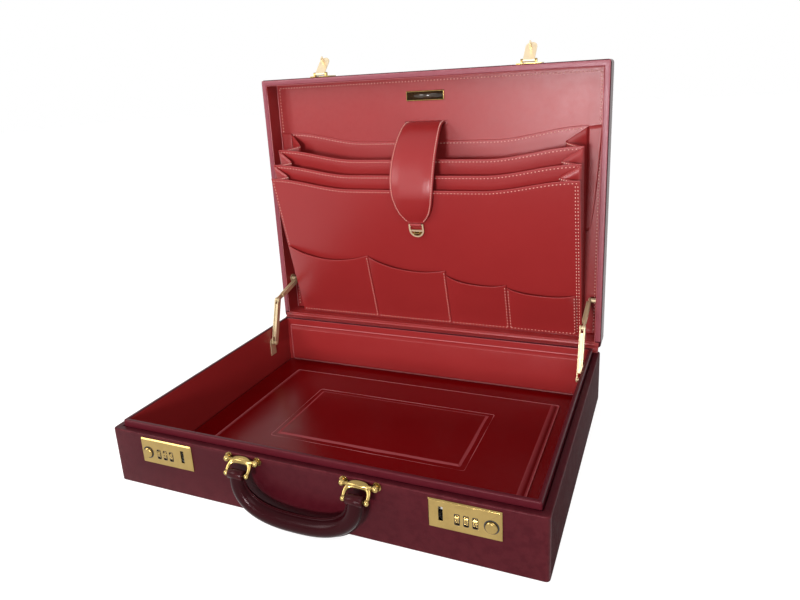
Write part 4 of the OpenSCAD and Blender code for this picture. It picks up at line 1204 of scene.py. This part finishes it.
# look and width of the rounded edges in mm; a name that ends in _ stands for a left and a right piece
fittings = {
    "hinge_leaf_base": ("brass", 0.2), "hinge_leaf_lid": ("brass", 0.2), "lock_plate_": ("brass", 0.35),
    "stay_base_plates": ("paleBrass", 0.25), "stay_lid_plates": ("paleBrass", 0.25),
    "hasp_base_": ("brass", 0.3), "hasp_": ("brightBrass", 0.35), "button_": ("brass", 0.3),
    "badge_plate": ("brass", 0.2), "strap_ring": ("brightBrass", 0.4), "ring_catch": ("brass", 0.4),
    "stay_lower_": ("paleBrass", 0.3), "stay_upper_": ("paleBrass", 0.3), "handle_posts": ("brass", 0.2),
}
dialEdge = 0.12
for name, (look, width) in fittings.items():
    for node in (name + "left", name + "right") if name.endswith("_") else (name,):
        dressed(node, look, width * mm, 2)
for side in ("left", "right"):
    for k in (1, 2, 3):
        dressed("dial_%s_%d" % (side, k), "brass", dialEdge * mm, 2)

stayShape = {
    "base": (110.3 * mm, 45.8 * mm), "elbow": (127.8 * mm, 101.8 * mm), "lid": (184.8 * mm, 116.3 * mm),
    # distances from the middle plane: the second strip's two faces, and the first strip's inner face
    "strip": (200.4 * mm, 201.6 * mm), "first": 204.6 * mm, "radius": 3.5 * mm, "edge": 0.2 * mm,
    "pin": 2.0 * mm, "head": 2.7 * mm, "web": (1.6 * mm, 2.6 * mm), "webEnds": (7.5 * mm, 5.5 * mm),
    # the pins' heads: how far each step stands out, and how much smaller it is
    "headSteps": [(0.7 * mm, 0.5 * mm), (0.45 * mm, 0), (0, 0)],
    # the upper link's channel: outer and inner half widths about its middle, height, floor and ends
    "channel": {"middle": 203.4 * mm, "half": 2.3 * mm, "inner": 1.3 * mm, "low": -2.9 * mm, "high": 3.1 * mm,
                "floor": 2.2 * mm, "ends": (12.5 * mm, 6.5 * mm)},
}


def outward(points, faces):
    # turns a closed mesh's faces outwards: the sum of the fans' volumes is to be positive
    p = np.asarray(points, float)
    volume = sum(np.dot(p[f[0]], np.cross(p[f[k]], p[f[k + 1]])) for f in faces for k in range(1, len(f) - 1))
    return faces if volume > 0 else [list(f)[::-1] for f in faces]


def barAlong(a, b, profile, ends, side):
    # a straight bar between two pivots: the profile lists (x, height square to the bar)
    a, b = np.array(a), np.array(b)
    run = (b - a) / np.linalg.norm(b - a)
    up = np.array([-run[1], run[0]])
    stations = (a + run * ends[0], b - run * ends[1])
    return np.array([[(side * x, *(p + up * v)) for x, v in profile] for p in stations])


def joinedParts(name, parts, look, body, sharp=40):
    # tubes of rings, each closed at its ends, as one piece
    flat = [part.reshape(-1, 3) for part in parts]
    faces = [outward(p, tubeFaces(*part.shape[:2])) for p, part in zip(flat, parts)]
    return newPiece(name, *joined(zip(flat, faces)), look, body, sharp)


def makeStayChannels():
    # lower link: a second strip, a web and two pins; upper link: a channel between its two pivots
    s, c = stayShape, stayShape["channel"]
    a, b = s["base"], s["elbow"]
    lean = np.arctan2(b[1] - a[1], b[0] - a[0])
    turn = np.linspace(-np.pi / 2, np.pi / 2, 13)
    (x0, x1), edge = s["strip"], s["edge"]
    low, high = s["web"]
    web = [(x1 - edge, low), (s["first"], low), (s["first"], high), (x1 - edge, high)]
    outer, inner, middle = c["half"], c["inner"], c["middle"]
    channel = [(middle - outer, c["low"]), (middle + outer, c["low"]), (middle + outer, c["high"]),
               (middle + inner, c["high"]), (middle + inner, c["floor"]), (middle - inner, c["floor"]),
               (middle - inner, c["high"]), (middle - outer, c["high"])]
    for side, word in ((-1, "left"), (1, "right")):
        rings = []
        for x, inset in ((x0, edge), (x0 + edge, 0), (x1 - edge, 0), (x1, edge)):
            r = s["radius"] - inset
            rings.append([(side * x, p[0] + r * np.cos(w), p[1] + r * np.sin(w))
                          for p, w in [(b, w + lean) for w in turn] + [(a, w + lean + np.pi) for w in turn]])
        parts = [np.array(rings), barAlong(a, b, web, s["webEnds"], side)]
        for p in (a, b):
            profile = [(x0 - out, s["head"] - less) for out, less in s["headSteps"]]
            profile += [(x0, s["pin"]), (s["first"], s["pin"])]
            parts.append(turned((0, *p), [(side * x, r) for x, r in profile], 20))
        joinedParts("stay_fork_" + word, parts, "paleBrass", "stay_lower_" + word)
        joinedParts("stay_channel_" + word, [barAlong(b, s["lid"], channel, c["ends"], side)], "paleBrass",
                    "stay_upper_" + word)


bailShape = {
    "axis": (-169 * mm, 56 * mm), "pin": (-177.768 * mm, 47.232 * mm), "centre": 60 * mm,
    # share of the way from the handle's pin to the wall, place across, half width, half thickness
    "path": [
        (-0.05, -10.9, 1.7, 1.5), (0.2, -11.3, 1.75, 1.5), (0.48, -11.3, 1.9, 1.5), (0.74, -10.3, 2.3, 1.5),
        (0.93, -8.2, 2.9, 1.45), (1.03, -5, 3.4, 1.4), (1.06, 0, 3.6, 1.35), (1.03, 5, 3.4, 1.4),
        (0.93, 8.2, 2.9, 1.45), (0.74, 10.3, 2.3, 1.5), (0.48, 11.3, 1.9, 1.5), (0.2, 11.3, 1.75, 1.5),
        (-0.05, 10.9, 1.7, 1.5)],
    "ball": 2.75 * mm, "ballAt": 10.9 * mm, "sides": 20,
    # (x, radius) of the handle's pin and of the bar through the studs
    "rod": [(-10 * mm, 1.45 * mm), (10 * mm, 1.45 * mm)],
    "bar": [(-12.2 * mm, 1.6 * mm), (-12 * mm, 1.8 * mm), (12 * mm, 1.8 * mm), (12.2 * mm, 1.6 * mm)],
}


def makeBails():
    # a flat band, widest in the middle, that bends round into two arms with balls on their ends
    s = bailShape
    axis, pin, sides = np.array(s["axis"]), np.array(s["pin"]), s["sides"]
    along = axis - pin
    length = np.linalg.norm(along)
    unit, out = along / length, np.array([-along[1], along[0]]) / length
    chain = smoothChain(np.array(s["path"], float), 5)
    w = np.arange(sides) * 2 * np.pi / sides
    x = chain[:, 1] * mm
    yz = pin + chain[:, :1] * along
    step = np.gradient(np.stack([x, chain[:, 0] * length], 1), axis=0)
    step /= np.linalg.norm(step, axis=1)[:, None]
    width, thick = chain[:, 2:3] * mm * np.cos(w), chain[:, 3:4] * mm * np.sin(w)
    across, up = -step[:, 1:] * width, step[:, :1] * width
    t = np.linspace(0.02, np.pi - 0.02, 15)
    ball = np.stack([-s["ball"] * np.cos(t), s["ball"] * np.sin(t)], 1)
    for side, word in ((-1, "left"), (1, "right")):
        middle = side * s["centre"]
        parts = [np.stack([middle + x[:, None] + across, yz[:, :1] + up * unit[0] + thick * out[0],
                           yz[:, 1:] + up * unit[1] + thick * out[1]], -1)]
        parts += [turned((middle + end * s["ballAt"], *pin), ball, sides) for end in (-1, 1)]
        parts += [turned((middle, *pin), s["rod"], sides), turned((middle, *axis), s["bar"], sides)]
        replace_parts(joinedParts("bail_band_" + word, parts, "brass", "bail_" + word, 50), "bail_" + word)


makeBails()
makeStayChannels()

shadeRimShape = {
    # width and height of a wheel's rim, and inner and outer radius of the button's
    "wheel": (4.9 * mm, 10.4 * mm), "corner": 1.4 * mm, "rim": 0.55 * mm, "seat": (5.35 * mm, 6.4 * mm),
    "off": 0.03 * mm, "bevel": 0.12 * mm, "lift": 0.22 * mm, "least": 0.3 * mm,
}


def rimGrid(node, face, w, h, r, rim):
    # a flat frame with round corners about a node: loops from its outer edge to its inner one
    t = shadeRimShape
    low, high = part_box(node)
    turn = np.concatenate([np.linspace(0, np.pi / 2, 9) + q * np.pi / 2 for q in range(4)])
    sx, sz = np.repeat([[1, -1, -1, 1], [1, 1, -1, -1]], 9, 1)
    loops = []
    for inset, lift in ((0, 0), (t["bevel"], t["lift"]), (rim - t["bevel"], t["lift"]), (rim, 0)):
        radius = max(r - inset, t["least"])
        x = (low.x + high.x) / 2 + sx * (w / 2 - inset - radius) + radius * np.cos(turn)
        z = (low.z + high.z) / 2 + sz * (h / 2 - inset - radius) + radius * np.sin(turn)
        loops.append(np.stack([x, face - lift + 0 * turn, z], 1))
    return np.array(loops)


def lockTrim():
    # dark rims round the three wheels and the button of each lock, laid on the plate: painted shade for the
    # recesses round them
    t = shadeRimShape
    inner, outer = t["seat"]
    for word in ("left", "right"):
        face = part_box("lock_plate_" + word)[0].y - t["off"]
        wheel = (*t["wheel"], t["corner"], t["rim"])
        grids = [rimGrid("dial_%s_%d" % (word, k), face, *wheel) for k in (1, 2, 3)]
        grids.append(rimGrid("button_" + word, face, 2 * outer, 2 * outer, outer, outer - inner))
        parts = [(grid.reshape(-1, 3), gridQuads(wrapped(numbered(grid)), True).tolist()) for grid in grids]
        newPiece("lock_rims_" + word, *joined(parts), "numberInk", "base", 40)


lockTrim()


badgeShape = {"rim": 1.3 * mm, "lift": 0.12 * mm, "sunk": 0.1 * mm}


def badgeInset():
    # a dark enamel field on the badge, with the brass left bare round it
    low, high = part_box("badge_plate")
    rim, y = badgeShape["rim"], low.y - badgeShape["lift"]
    x, z = (low.x + rim, high.x - rim), (low.z + rim, high.z - rim)
    points = [(x[0], y, z[0]), (x[1], y, z[0]), (x[1], y, z[1]), (x[0], y, z[1])]
    points += [(px, low.y + badgeShape["sunk"], pz) for px, _, pz in points]
    faces = [(0, 1, 2, 3), (4, 7, 6, 5), (0, 4, 5, 1), (1, 5, 6, 2), (2, 6, 7, 3), (3, 7, 4, 0)]
    newPiece("badge_field", points, faces, "enamel", "lid")


badgeInset()

# CAD nodes that stay as they are; the rest of them are of steel
keptLooks = {
    "hinge_pin": "brass", "base_screws": "brass", "lid_screws": "brass", "file_base": "liningLeather",
}
for node in nodes:
    if not nodes[node].hide_render:
        look = keptLooks.get(node, "steel")
        nodes[node].data.materials.clear()
        nodes[node].data.materials.append(finish[look])
        print("kept node", node, look)


# Numbers on the dials

dialShape = {
    "radius": 5.8 * mm, "digit": 2.9 * mm, "relief": 0.08 * mm, "lift": 0.1 * mm, "squeeze": 0.85,
}


def digitMeshes():
    # the ten numbers as flat meshes: corner points and faces
    digits = []
    for n in range(10):
        curve = bpy.data.curves.new("digit", "FONT")
        curve.body = str(n)
        curve.size = dialShape["digit"]
        curve.align_x, curve.align_y = "CENTER", "CENTER"
        curve.resolution_u = 3
        curve.extrude = dialShape["relief"]
        text = bpy.data.objects.new("digit", curve)
        bpy.context.scene.collection.objects.link(text)
        bpy.context.view_layer.update()
        mesh = bpy.data.meshes.new_from_object(text.evaluated_get(bpy.context.evaluated_depsgraph_get()))
        points = np.array([v.co for v in mesh.vertices], float)
        faces = [list(p.vertices) for p in mesh.polygons]
        digits.append((points, faces))
        bpy.data.objects.remove(text)
        bpy.data.curves.remove(curve)
        bpy.data.meshes.remove(mesh)
    return digits


def dialNumbers(digits):
    # each number is wrapped on its dial: height along the text becomes an angle about the axle
    s = dialShape
    for side in ("left", "right"):
        for k in (1, 2, 3):
            dial = "dial_%s_%d" % (side, k)
            low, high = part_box(dial)
            centre = np.array((low + high) / 2)
            parts = []
            for n, (flat, polygons) in enumerate(digits):
                angle = np.radians(36 * n) + flat[:, 1] / s["radius"]
                r = s["radius"] + s["lift"] + flat[:, 2]
                place = np.stack([flat[:, 0] * s["squeeze"], -r * np.cos(angle), r * np.sin(angle)], 1)
                parts.append((centre + place, polygons))
            newPiece("numbers_%s_%d" % (side, k), *joined(parts), "numberInk", dial, 40)


dialNumbers(digitMeshes())
print("fittings made")


# Floor, light and world

stageLook = {
    "floor": (0.5, 0.5, 0.5, 1), "rough": 0.8, "specular": 0.1, "reach": 8.0, "below": 0.4 * mm,
    "glow": 0.82, "ambient": 0.34,
    # place, target, width, height, watts, colour
    "lamps": [
        ((-0.85, -0.75, 0.7), (-0.05, 0, 0.13), 0.5, 0.5, 5.6, (1, 0.98, 0.96)),
        ((0.05, -1.4, 0.32), (0.2, 0.19, 0.35), 0.24, 0.2, 15, (1, 0.97, 0.98)),
        ((0.6, -0.75, 1.25), (-0.1, 0.05, 0.1), 0.7, 0.7, 5.2, (1, 1, 1)),
    ],
}


def litFrom(tree, low, high):
    # low for light that falls on things, high for what the camera and the reflections see
    path = addNode(tree, "ShaderNodeLightPath")
    seen = mathNode(tree, "MAXIMUM", path.outputs["Is Camera Ray"], path.outputs["Is Glossy Ray"])
    seen = mathNode(tree, "MAXIMUM", seen, path.outputs["Is Transmission Ray"])
    return rangeNode(tree, seen, 0.0, 1.0, low, high)


def makeWorld(look):
    world = bpy.data.worlds.new("paleRoom")
    world.use_nodes = True
    tree = world.node_tree
    background = tree.nodes["Background"]
    background.inputs["Color"].default_value = (1, 1, 1, 1)
    tree.links.new(litFrom(tree, look["ambient"], 1.0), background.inputs["Strength"])
    bpy.context.scene.world = world


def makeFloor(look):
    material, tree, shader = newMaterial("paleFloor")
    shader.inputs["Base Color"].default_value = look["floor"]
    shader.inputs["Roughness"].default_value = look["rough"]
    shader.inputs["Specular IOR Level"].default_value = look["specular"]
    shader.inputs["Emission Color"].default_value = (1, 1, 1, 1)
    tree.links.new(litFrom(tree, 0.0, look["glow"]), shader.inputs["Emission Strength"])
    r, z = look["reach"], -look["below"]
    mesh = bpy.data.meshes.new("floorPlane")
    mesh.from_pydata([(-r, -r, z), (r, -r, z), (r, r, z), (-r, r, z)], [], [(0, 1, 2, 3)])
    mesh.materials.append(material)
    floor = bpy.data.objects.new("floorPlane", mesh)
    bpy.context.scene.collection.objects.link(floor)


def makeLamps(lamps):
    # each lamp's own Z points back from its target to its place
    for n, (place, target, width, height, watts, colour) in enumerate(lamps):
        data = bpy.data.lights.new("softbox%d" % n, "AREA")
        data.shape = "RECTANGLE"
        data.size, data.size_y, data.energy, data.color = width, height, watts, colour
        lamp = bpy.data.objects.new(data.name, data)
        back = np.array(place, float) - np.array(target, float)
        back /= np.linalg.norm(back)
        right = np.cross((0, 0, 1), back)
        right /= np.linalg.norm(right)
        up = np.cross(back, right)
        lamp.matrix_world = Matrix([*([right[i], up[i], back[i], place[i]] for i in range(3)), [0, 0, 0, 1]])
        bpy.context.scene.collection.objects.link(lamp)


makeWorld(stageLook)
makeFloor(stageLook)
makeLamps(stageLook["lamps"])
bpy.context.scene.view_settings.view_transform = "Standard"
print("stage set")

bpy.context.view_layer.update()
